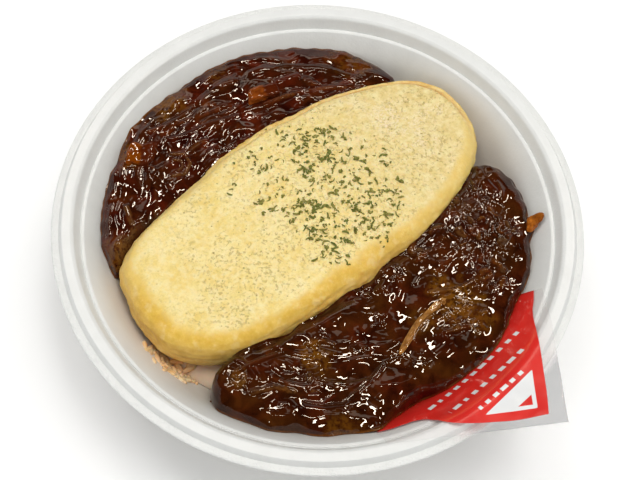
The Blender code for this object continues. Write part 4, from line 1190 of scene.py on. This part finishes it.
def film_finish():
    """Clear film, red inside its margin, with plain white marks and a white triangle; outside the bowl its
    clear margin is painted grey and made half opaque, as painted shade under the sheet.
    """
    film = Finish("printed_film", Roughness=0.22)
    sheet = film.node("ShaderNodeUVMap", uv_map="sheet").outputs["UV"]
    split = film.node("ShaderNodeSeparateXYZ", {0: sheet})
    u, v = split.outputs[0], split.outputs[1]

    def inside(value, limit):
        """1 where the value is over the limit, with a soft change."""
        return film.step(limit - PRINT_BLUR, limit + PRINT_BLUR, value)

    right = film.maths("SUBTRACT", u, margin_curve(film, v, FILM_MARGIN_RIGHT))
    near = film.maths("SUBTRACT", v, margin_curve(film, u, FILM_MARGIN_NEAR))
    red = film.times(inside(right, 0.0), inside(near, 0.0))

    def triangle(p, q, r, rounding):
        """1 inside the triangle of three places on the sheet."""
        places = [np.array(c, float) for c in (p, q, r)]
        middle = sum(places) / 3
        worst = None
        for a, b in zip(places, places[1:] + places[:1]):
            normal = np.array((b[1] - a[1], a[0] - b[0])) / np.linalg.norm(b - a)
            if normal @ (middle - a) > 0:
                normal = -normal
            away = film.maths("MULTIPLY_ADD", v, normal[1], -normal @ a)
            away = film.maths("MULTIPLY_ADD", u, normal[0], away)
            worst = away if worst is None else film.maths("SMOOTH_MAX", worst, away, rounding)
        return film.rest_of(inside(worst, 0.0))

    white = triangle((8.9, 20.6), (9.1, 6.2), (26.2, 6.1), 0.9)
    mark = triangle((10.4, 11.4), (10.4, 7.6), (15.2, 7.6), 0.15)
    white = film.maths("SUBTRACT", white, mark, clamp=True)
    # rows of plain dashes beside the slanted side of the triangle: distance, start, end and pitch of each
    along = film.maths("MULTIPLY_ADD", u, -0.8, film.times(v, 0.6))
    away = film.maths("MULTIPLY_ADD", u, 0.6, film.times(v, 0.8))
    for offset, start, end, pitch in DASH_ROWS:
        from_row = film.maths("ABSOLUTE", film.maths("SUBTRACT", away, offset))
        row = film.rest_of(film.step(0.62, 0.85, from_row))
        turn = film.maths("DIVIDE", film.maths("ADD", along, 100.0), pitch)
        chance = film.node("ShaderNodeTexWhiteNoise", {"W": film.maths("FLOOR", turn)}, noise_dimensions="1D")
        half = film.remap(chance.outputs["Value"], 0.20, 0.44)
        middle = film.maths("ABSOLUTE", film.maths("SUBTRACT", film.maths("FRACT", turn), 0.5))
        dash = film.step(0.0, 0.05, film.maths("SUBTRACT", half, middle))
        kept = film.times(inside(along, start), film.rest_of(inside(along, end)))
        dashes = film.times(film.times(row, dash), kept)
        white = film.maths("ADD", white, dashes, clamp=True)
    white = film.times(white, red)
    ink = film.ramp(film.noise(14.0, 2.0), [(0.3, (0.66, 0.018, 0.014)), (0.7, (0.78, 0.030, 0.022))])
    colour = film.mix(white, ink, (0.80, 0.80, 0.79))
    # outside the bowl the clear margin is painted grey and half opaque: painted shade under the sheet; near
    # the bowl it is faintly pink and almost clear
    outside = film.step(93.0 * MM, 98.0 * MM, film.from_axis())
    margin_shade = film.mix(outside, (0.86, 0.76, 0.75), (0.44, 0.44, 0.44))
    film.set("Base Color", film.mix(red, margin_shade, colour))
    film.set("Alpha", film.maths("MAXIMUM", red, film.remap(outside, 0.08, 0.42)))
    film.set("Roughness", film.remap(film.noise(9.0, 2.0), 0.16, 0.3))
    film.set("Normal", film.bump(film.noise(6.0, 2.0), 0.25, 0.6))
    film.varnish(0.5, 0.08)
    return film.material


def make_film(rows=110, columns=64):
    """The sheet's free corner, a thin shell with its own flat coordinates for the print."""
    profile = film_profile()
    angles = np.linspace(FILM_ANGLES[0], FILM_ANGLES[1], rows + 1)
    corner = math.degrees(math.atan2(FILM_CORNER[1], FILM_CORNER[0]))
    angles[np.argmin(np.abs(angles - corner))] = corner
    reach = film_reach(angles)
    radius = FILM_TUCK_RADIUS + (reach - FILM_TUCK_RADIUS)[:, None] * np.linspace(0, 1, columns + 1)[None, :]
    angle = np.repeat(angles[:, None], columns + 1, axis=1)
    p = polar(angle, radius)
    x, y = p[..., 0], p[..., 1]
    free = smoothstep(84.0, 96.0, radius)
    height = np.interp(radius, profile[:, 0], profile[:, 1]) + film_raise(angle, radius)
    height = height + free * (0.5 * lumps(x, y, 15.0, 31) + 0.15 * lumps(x, y, 6.0, 32))
    steep = np.gradient(profile[:, 1], profile[:, 0])
    up = FILM_THICKNESS * np.hypot(1.0, np.interp(radius, profile[:, 0], steep))
    top, bottom = np.dstack((p, height + up)), np.dstack((p, height))
    points, faces = grid_shell(top, bottom, 1)
    sheet = []
    for end in (FILM_RIGHT_END, FILM_LEFT_END):
        normal, offset = edge_line(end)
        sheet.append(p @ normal - offset)
    uv = np.dstack(sheet).reshape(-1, 2)
    return outward(mesh_object("film_corner", points, faces, film_finish(), uv=np.concatenate((uv, uv))))


# ---------------------------------------------------------------- rice

def rice_finish(name, dark, light):
    """Soft cooked rice between two tones."""
    rice = Finish(name, Roughness=0.4)
    tone = rice.noise(5.0, 2.0)
    colour = rice.ramp(tone, [(0.3, dark), (0.7, light)])
    rice.set("Base Color", colour)
    rice.set("Roughness", rice.remap(rice.noise(2.0, 2.0), 0.25, 0.45))
    rice.set("Normal", rice.bump(rice.noise(1.0, 2.0), 0.08))
    rice.soften(0.35, (1.0, 0.5, 0.25), 1.8 * MM)
    return rice.material


# how far the bed of rice reaches, as (angle, radius)
RICE_OUTLINE = [(-180, 72.0), (-170, 70.5), (-158, 69.5), (-146, 71.0), (-139, 72.0), (-132, 71.6),
                (-129, 70.4), (-126, 69.8), (-120, 68.4), (-114, 66.5), (-106, 64.0), (-98, 68.0),
                (-86, 72.0), (-76, 69.0), (-40, 69.0), (4, 69.0), (16, 66.0), (26, 56.0), (42, 60.0),
                (58, 62.0), (74, 68.0), (88, 72.0), (180, 72.0)]
# the grains that slid down the wall: middle of the streak as (angle, radius), and its half width
RICE_STREAK = [(-139, 72.0), (-134, 71.8), (-130, 71.4), (-126, 69.8), (-122.5, 67.6)]
RICE_STREAK_WIDTH = 3.2


def make_rice_core(finish, steps=150, rings=26):
    """Lumpy bed of rice, a little lower than the loose grains on it."""
    angles = -180 + np.arange(steps) * 360.0 / steps
    full = catmull_rom(RICE_OUTLINE, angles) - 0.8
    cluster = polar(CLUSTER_ANGLE, CLUSTER_RADIUS)
    loops, lows = [], []
    for share in (np.arange(rings) + 1) / rings:
        radius = full * share
        p = polar(angles, radius)
        away = np.hypot(p[:, 0] - cluster[0], p[:, 1] - cluster[1])
        level = RICE_LEVEL - RICE_CORE_DROP + 1.8 * np.exp(-(away / 6.0) ** 2)
        level = level + 0.35 * lumps(p[:, 0], p[:, 1], 3.2, 41)
        floor = wall_height(radius) + 0.4
        inward = np.minimum(full * (1 - share) / 5.0, 1.0)
        rounded = np.sqrt(1 - (1 - inward) ** 2)
        top = floor + 0.1 + np.maximum(level - floor - 0.1, 0.0) * (0.02 + 0.98 * rounded)
        loops.append(np.column_stack((p, top)))
        lows.append(np.column_stack((p, floor)))
    rows = loops + lows[::-1]
    poles = [(0, 0, RICE_LEVEL - RICE_CORE_DROP), (0, 0, FLOOR_HEIGHT + 0.4)]
    points = np.concatenate((poles[:1], *rows, poles[1:]))
    core = outward(mesh_object("rice_bed", points, ring_faces(len(rows), steps), finish))
    p = points[:, :2]
    angle, radius = np.degrees(np.arctan2(p[:, 1], p[:, 0])), np.hypot(p[:, 0], p[:, 1])
    margin_shade = np.maximum(radius - omelette_reach(angle) + 7.0, 0.0) > 0
    left_end = (angle < -127) & (angle > -138)
    right_end = (angle > 22) & (angle < 76)
    upper = points[:, 2] > wall_height(radius) + 0.6
    layer = core.data.attributes.new("show", "FLOAT", "POINT")
    layer.data.foreach_set("value", (margin_shade & (left_end | right_end) & upper).astype(np.float32))
    return core


def rice_streak_place():
    """Patch of the wall under the streak, only there to lay grains on."""
    rows, columns = 60, 50
    angles, radii = np.meshgrid(np.linspace(-140.0, -120.0, rows), np.linspace(62.0, 78.0, columns),
                                indexing="ij")
    p = polar(angles, radii)
    points = np.dstack((p, wall_height(radii) + 0.9)).reshape(-1, 3)
    faces = [(i * columns + j, i * columns + j + 1, (i + 1) * columns + j + 1, (i + 1) * columns + j)
             for i in range(rows - 1) for j in range(columns - 1)]
    away = np.abs(radii - catmull_rom(RICE_STREAK, angles.ravel()).reshape(radii.shape)).ravel()
    show = smoothstep(RICE_STREAK_WIDTH + 0.8, RICE_STREAK_WIDTH - 0.8, away)
    show = show * smoothstep(-122.6, -124.0, angles.ravel()) * smoothstep(-139.6, -137.6, angles.ravel())
    mesh = bpy.data.meshes.new("rice_streak_place")
    mesh.from_pydata((points * MM).tolist(), [], faces)
    layer = mesh.attributes.new("show", "FLOAT", "POINT")
    layer.data.foreach_set("value", show.astype(np.float32))
    return mesh


def grain_mesh(bend):
    """One cooked grain: a bent oval with blunt ends."""
    rings, sides = 9, 8
    t = (np.arange(rings) + 0.5) / rings
    along = (t - 0.5) * GRAIN_LENGTH
    girth = GRAIN_WIDTH / 2 * np.clip(1 - np.abs(2 * t - 1) ** 2.6, 0.0, 1.0) ** 0.5
    turn = np.arange(sides) * 2 * np.pi / sides
    x = np.repeat(along[:, None], sides, axis=1)
    y = girth[:, None] * np.cos(turn)[None, :]
    z = girth[:, None] * np.sin(turn)[None, :] * 0.85 + bend * (along[:, None] / GRAIN_LENGTH) ** 2 * 4
    ends = [(-GRAIN_LENGTH / 2, 0, bend), (GRAIN_LENGTH / 2, 0, bend)]
    points = np.concatenate((ends[:1], np.dstack((x, y, z)).reshape(-1, 3), ends[1:]))
    mesh = bpy.data.meshes.new("grain")
    mesh.from_pydata((points * MM).tolist(), [], ring_faces(rings, sides))
    return mesh


def scatter_recipe(name, material):
    """Picks shapes at random and lays them over a surface where an attribute lets it."""
    recipe = Recipe(name, {"Shapes": "Collection", "Per Square Metre": "Float", "Apart": "Float",
                           "Seed": "Int", "Tilt": "Float", "Smallest": "Float", "Largest": "Float",
                           "Lift": "Float"})
    given = recipe.source
    shown = recipe.node("GeometryNodeInputNamedAttribute", {"Name": "show"}, data_type="FLOAT").outputs[0]
    spread = recipe.node("GeometryNodeDistributePointsOnFaces",
                         {0: given["Geometry"], "Distance Min": given["Apart"], "Seed": given["Seed"],
                          "Density Max": given["Per Square Metre"], "Density Factor": shown},
                         distribute_method="POISSON")
    shapes = recipe.node("GeometryNodeCollectionInfo", {0: given["Shapes"], 1: True, 2: True})
    lean = recipe.node("FunctionNodeRandomValue", {"Seed": given["Seed"]}, data_type="FLOAT_VECTOR")
    tilt_low = recipe.node("ShaderNodeMath", {0: given["Tilt"], 1: -1.0}, operation="MULTIPLY").outputs[0]
    low = recipe.node("ShaderNodeCombineXYZ", {0: tilt_low, 1: tilt_low, 2: 0.0}).outputs[0]
    full_turn = {0: given["Tilt"], 1: given["Tilt"], 2: 2 * math.pi}
    high = recipe.node("ShaderNodeCombineXYZ", full_turn).outputs[0]
    recipe.tree.links.new(low, lean.inputs[0])
    recipe.tree.links.new(high, lean.inputs[1])
    turn = recipe.node("FunctionNodeEulerToRotation", {0: lean.outputs[0]})
    turned = recipe.node("FunctionNodeRotateRotation", {0: spread.outputs["Rotation"], 1: turn.outputs[0]},
                         rotation_space="LOCAL")
    size_range = {2: given["Smallest"], 3: given["Largest"], "Seed": given["Seed"]}
    size = recipe.node("FunctionNodeRandomValue", size_range, data_type="FLOAT")
    lifted = recipe.node("ShaderNodeVectorMath", {0: spread.outputs["Normal"], "Scale": given["Lift"]},
                         operation="SCALE")
    moved = recipe.node("GeometryNodeSetPosition", {0: spread.outputs["Points"], "Offset": lifted.outputs[0]})
    laid = recipe.node("GeometryNodeInstanceOnPoints",
                       {0: moved.outputs[0], "Instance": shapes.outputs[0], "Pick Instance": True,
                        "Rotation": turned.outputs[0], "Scale": size.outputs[1]})
    recipe.end(laid.outputs[0], material)
    return recipe


# ---------------------------------------------------------------- parsley

def flake_mesh(index, random):
    """A dried scrap of leaf, a thin closed shell: either a lobed bit or a curled strip."""
    if index % 3 == 2:
        length, count = random.uniform(1.4, 2.6), 7
        t = np.linspace(0.0, 1.0, count)
        half = random.uniform(0.18, 0.34) * (0.5 + 0.5 * np.sin(np.pi * (0.1 + 0.8 * t)))
        bow = random.choice((-1.0, 1.0)) * random.uniform(0.25, 0.7) * np.sin(np.pi * t)
    else:
        length, count = random.uniform(1.0, 2.1), 6
        t = np.linspace(0.0, 1.0, count)
        half = length * random.uniform(0.24, 0.40) * np.sin(np.pi * (0.12 + 0.76 * t))
        half = half * random.uniform(0.55, 1.25, count)
        bow = random.normal(0.0, 0.14, count)
    lift = random.uniform(0.05, 0.4) * np.sin(np.pi * t) + 0.05
    points = []
    for across in (-1.0, 0.0, 1.0):
        for up in (0.0, 0.09):
            z = lift + up + random.uniform(-0.05, 0.22) * (across != 0.0)
            points.append(np.column_stack(((t - 0.5) * length, bow + across * half, z)))
    top, bottom = np.stack(points[1::2], axis=1), np.stack(points[0::2], axis=1)
    bottom[..., 2] = np.minimum(bottom[..., 2], top[..., 2] - 0.07)
    all_points, faces = grid_shell(top, bottom, 1)
    mesh = bpy.data.meshes.new("flake")
    mesh.from_pydata((all_points * MM).tolist(), [], faces)
    return mesh


def parsley_finish():
    """Dull olive and green dried leaf."""
    parsley = Finish("dried_parsley", Roughness=0.7)
    tone = parsley.noise(1.3, 2.0)
    broad = parsley.noise(8.0, 1.0)
    colour = parsley.ramp(tone, [(0.30, (0.100, 0.100, 0.013)), (0.50, (0.185, 0.180, 0.028)),
                                 (0.70, (0.31, 0.27, 0.070))])
    green = parsley.times(parsley.step(0.50, 0.66, broad), 0.45)
    parsley.set("Base Color", parsley.mix(green, colour, (0.075, 0.125, 0.022)))
    parsley.set("Specular IOR Level", 0.2)
    parsley.set("Roughness", parsley.remap(tone, 0.55, 0.8))
    parsley.set("Normal", parsley.bump(parsley.noise(0.3, 2.0), 0.05))
    return parsley.material


# Where the flakes fell: centre, half sizes along X and Y, and how thickly, of 1
HERB_PATCHES = [((-6, 31), (11, 9), 0.8), ((2, 19), (13, 9), 0.9), ((-24, 21), (8, 6), 0.3),
                ((-18, 4), (5, 4.5), 0.95), ((-3, 2), (12, 8), 0.9), ((6, -6), (9, 7), 1.0),
                ((19, -1), (8, 7), 1.0), ((6, -14), (7, 4), 0.8), ((22, 10), (10, 9), 0.6),
                ((4, 12), (22, 16), 0.5), ((4, 36), (9, 4), 0.35), ((-33, 10), (3, 3), 0.5),
                ((16, 24), (10, 8), 0.35), ((-14, 36), (8, 4), 0.3)]


def scatter_parsley(omelette):
    """Lays flakes on the omelette's top, clumped inside the patches."""
    points = np.zeros(len(omelette.data.vertices) * 3)
    omelette.data.vertices.foreach_get("co", points)
    points = points.reshape(-1, 3) / MM
    show = np.zeros(len(points))
    for (cx, cy), (rx, ry), amount in HERB_PATCHES:
        away = np.hypot((points[:, 0] - cx) / rx, (points[:, 1] - cy) / ry)
        show = np.maximum(show, amount * smoothstep(1.35, 0.5, away))
    clumped = 0.55 + 0.9 * lumps(points[:, 0], points[:, 1], 3.4, 51)
    show = np.clip(show * np.clip(clumped, 0.08, 1.0), 0.0, 1.0)
    surface = omelette.data.copy()
    upper = points[:, 2] > OMELETTE_BASE + OMELETTE_THICKNESS * 0.72
    layer = surface.attributes.new("show", "FLOAT", "POINT")
    layer.data.foreach_set("value", (show * upper).astype(np.float32))
    random = np.random.default_rng(8)
    flakes = shapes_collection("flakes", [flake_mesh(i, random) for i in range(14)])
    recipe = scatter_recipe("sprinkle", parsley_finish())
    parsley = recipe.bake("parsley_flakes", surface, {
        "Shapes": flakes, "Per Square Metre": 900000.0, "Apart": 0.55 * MM, "Seed": 4, "Tilt": 0.3,
        "Smallest": 0.5, "Largest": 1.35, "Lift": 0.0})
    clear_collection(flakes)
    return parsley


# ---------------------------------------------------------------- room, light and camera

def make_floor():
    finish = Finish("pale_floor", Roughness=0.6)
    tone = finish.noise(120.0, 2.0)
    finish.set("Base Color", finish.ramp(tone, [(0.3, (0.95, 0.95, 0.945)), (0.7, (0.965, 0.965, 0.96))]))
    reach = 3000.0
    points = [(-reach, -reach, -0.2), (reach, -reach, -0.2), (reach, reach, -0.2), (-reach, reach, -0.2)]
    return mesh_object("floor", points, [(0, 1, 2, 3)], finish.material)


def add_lamp(name, place, size, radiance, in_gloss=True, in_colour=True, tint=(1.0, 0.995, 0.98)):
    """Soft rectangular lamp that faces the bowl, as bright as a card of this radiance."""
    light = bpy.data.lights.new(name, "AREA")
    light.shape = "RECTANGLE"
    light.size, light.size_y = size
    light.energy = radiance * math.pi * size[0] * size[1]
    light.color = tint
    lamp = bpy.data.objects.new(name, light)
    lamp.location = place
    lamp.rotation_euler = (Vector((0, 0, 0.04)) - Vector(place)).to_track_quat("-Z", "Y").to_euler()
    lamp.visible_glossy = in_gloss
    lamp.visible_diffuse = in_colour
    bpy.context.scene.collection.objects.link(lamp)


# each lamp: name, place, size, radiance
COLOUR_LAMPS = (
    ("overhead", (0.1, 0.1, 2.0), (1.8, 1.6), 1.3),
    ("back_wall", (-0.3, 1.6, 1.6), (1.6, 0.9), 0.1),
    ("front_wall", (0.2, -1.9, 0.9), (2.2, 0.8), 0.9),
    ("key_left", (-0.55, 0.25, 1.6), (0.3, 0.6), 6.0),
    ("key_right", (0.55, 0.25, 1.6), (0.3, 0.6), 6.0),
    ("key_over", (0.2, 0.05, 1.6), (0.6, 0.3), 8.0),
    ("left_wall", (-1.9, -0.6, 0.8), (1.4, 0.9), 1.9),
    ("right_wall", (1.9, -0.2, 0.8), (1.4, 0.9), 1.6))
# what the gloss shows: dim walls and small windows all round
GLOSS_LAMPS = (
    ("dim_wall", (-0.3, 1.6, 1.15), (1.5, 0.32), 2.2),
    ("dim_over", (0.1, 0.75, 1.6), (0.34, 0.18), 1.6),
    ("dim_front", (0.2, -1.9, 0.7), (2.2, 0.5), 0.2),
    ("window_left", (-0.55, 0.85, 1.4), (0.065, 0.46), 62.0),
    ("window_right", (0.60, 0.80, 1.4), (0.070, 0.48), 62.0),
    ("window_over", (-0.1, 0.20, 1.7), (0.44, 0.06), 62.0),
    ("window_side", (1.1, 0.0, 1.2), (0.085, 0.46), 60.0))
WARM_TINT = (1.0, 0.87, 0.72)


def set_light():
    world = bpy.data.worlds.new("room")
    world.use_nodes = True
    background = world.node_tree.nodes["Background"]
    background.inputs["Color"].default_value = (0.97, 0.98, 1.0, 1.0)
    background.inputs["Strength"].default_value = 0.36
    world.cycles_visibility.glossy = False
    bpy.context.scene.world = world
    for lamp in COLOUR_LAMPS:
        add_lamp(*lamp, in_gloss=False)
    for lamp in GLOSS_LAMPS:
        add_lamp(*lamp, in_colour=False, tint=WARM_TINT)


def set_camera():
    elevation = math.radians(CAMERA_ELEVATION)
    forward = Vector((0.0, math.cos(elevation), -math.sin(elevation)))
    camera = bpy.data.cameras.new("camera")
    camera.lens = CAMERA_LENS
    camera.sensor_width = 36.0
    camera.clip_start = 0.01
    obj = bpy.data.objects.new("camera", camera)
    turn = forward.to_track_quat("-Z", "Y").to_matrix().to_4x4()
    place = Matrix.Translation(CAMERA_TARGET - forward * CAMERA_DISTANCE)
    obj.matrix_world = place @ turn @ Matrix.Rotation(math.radians(CAMERA_ROLL), 4, "Z")
    bpy.context.scene.collection.objects.link(obj)
    bpy.context.scene.camera = obj
    bpy.context.scene.view_settings.view_transform = "Standard"


# ---------------------------------------------------------------- the whole meal

def show(piece, slot, *nodes):
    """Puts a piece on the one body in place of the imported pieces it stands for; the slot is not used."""
    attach(piece, "root")
    if nodes:
        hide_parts(*nodes)


def lay_rice():
    """The bed under the omelette, loose grains on it and the grains that slid down the wall."""
    rice = rice_finish("ketchup_rice", (0.78, 0.43, 0.17), (0.90, 0.64, 0.38))
    core = make_rice_core(rice_finish("rice_bed", (0.84, 0.62, 0.44), (0.90, 0.72, 0.55)))
    grains = shapes_collection("grains", [grain_mesh(bend) for bend in (0.1, 0.3, 0.5)])
    recipe = scatter_recipe("loose_rice", rice)
    loose = recipe.bake("loose_rice", core.data.copy(), {
        "Shapes": grains, "Per Square Metre": 160000.0, "Apart": 1.9 * MM, "Seed": 3, "Tilt": 0.5,
        "Smallest": 0.85, "Largest": 1.1, "Lift": 0.5 * MM})
    slid = recipe.bake("slid_rice", rice_streak_place(), {
        "Shapes": grains, "Per Square Metre": 900000.0, "Apart": 0.9 * MM, "Seed": 6, "Tilt": 0.35,
        "Smallest": 0.5, "Largest": 0.95, "Lift": -0.55 * MM})
    clear_collection(grains)
    show(slid, "rice")
    show(core, "rice", "rice")
    show(loose, "rice")


def lay_carrots(back):
    """Two pieces on the sauce behind the omelette and a bare scrap on the wall."""
    carrot = carrot_finish("glazed_carrot", (0.105, 0.018, 0.002), (0.26, 0.060, 0.007))
    soaked = carrot_finish("soaked_carrot", (0.125, 0.021, 0.001), (0.22, 0.050, 0.002))
    for node, (x, y), size, turn, tilt, finish, seed in (
            ("carrot_back", (-25.8, 54.8), (14.0, 6.4, 3.8), 28.0, 6.0, carrot, 61),
            ("carrot_left", (-68.2, 22.6), (11.6, 10.4, 3.8), 8.0, 0.0, soaked, 62)):
        z = top_height(back, x, y)
        piece = rounded_chunk(node + "_piece", size, seed, finish, taper=0.82, power=7.0)
        show(place_piece(piece, (x, y, z - 0.4), turn, tilt, turn), "carrot", node)
    margin_shade = carrot_finish("bare_carrot", (0.17, 0.032, 0.003), (0.60, 0.19, 0.022), coat=0.45)
    scrap = rounded_chunk("carrot_scrap", (8.8, 5.8, 2.8), 67, margin_shade, 0.8, power=2.8, pinch=0.42, ragged=0.5)
    low, high = corners_mm("carrot_right")
    middle = (low + high) / 2 - (0.8, 0.0, 0.0)
    show(place_piece(scrap, middle, 17.0, -51.0, 6.5), "carrot", "carrot_right")


def lay_drop(sauce):
    """Small drop of sauce on the near wall."""
    drop = rounded_chunk("sauce_drop", (3.4, 2.2, 1.0), 64, sauce, 0.9, power=2.2)
    x, y = DROP_PLACE
    facing = math.degrees(math.atan2(y, x))
    show(place_piece(drop, (x, y, wall_height(math.hypot(x, y)) + 0.25), 20.0, -50.0, facing), "sauce")


def lay_onion(front):
    """Onion strip along the front sauce, proud at its near end and sinking at the other."""
    onion = carrot_finish("glazed_onion", (0.15, 0.052, 0.007), (0.41, 0.19, 0.050))
    route = bezier(*(np.array(p) for p in ONION_ROUTE), 30)
    lifts = np.linspace(0.4, -0.5, len(route))
    points = [(x, y, top_height(front, x, y) + lift) for (x, y), lift in zip(route, lifts)]
    show(strip_along("onion_strip_piece", points, 1.5, 0.5, onion), "onion", "onion_strip")


def main():
    set_camera()
    set_light()
    make_floor()
    show(make_bowl(), "bowl_foam", "bowl")
    omelette = make_omelette()
    show(omelette, "egg", "omelette")
    parsley = scatter_parsley(omelette)
    show(parsley, "egg")
    lay_rice()
    sauce = sauce_finish()
    back = make_sauce("sauce_pool_back", BACK_OUTLINE, BACK_AGAINST_OMELETTE, SAUCE_LEVEL_BACK,
                      BACK_POOL, BACK_GRID, sauce)
    front = make_sauce("sauce_pool_front", FRONT_OUTLINE, FRONT_AGAINST_OMELETTE, SAUCE_LEVEL_FRONT,
                       FRONT_POOL, FRONT_GRID, sauce)
    show(back, "sauce", "sauce_back")
    show(front, "sauce", "sauce_front")
    lay_carrots(back)
    lay_drop(sauce)
    lay_onion(front)
    show(make_film(), "film", "film_sheet")


main()
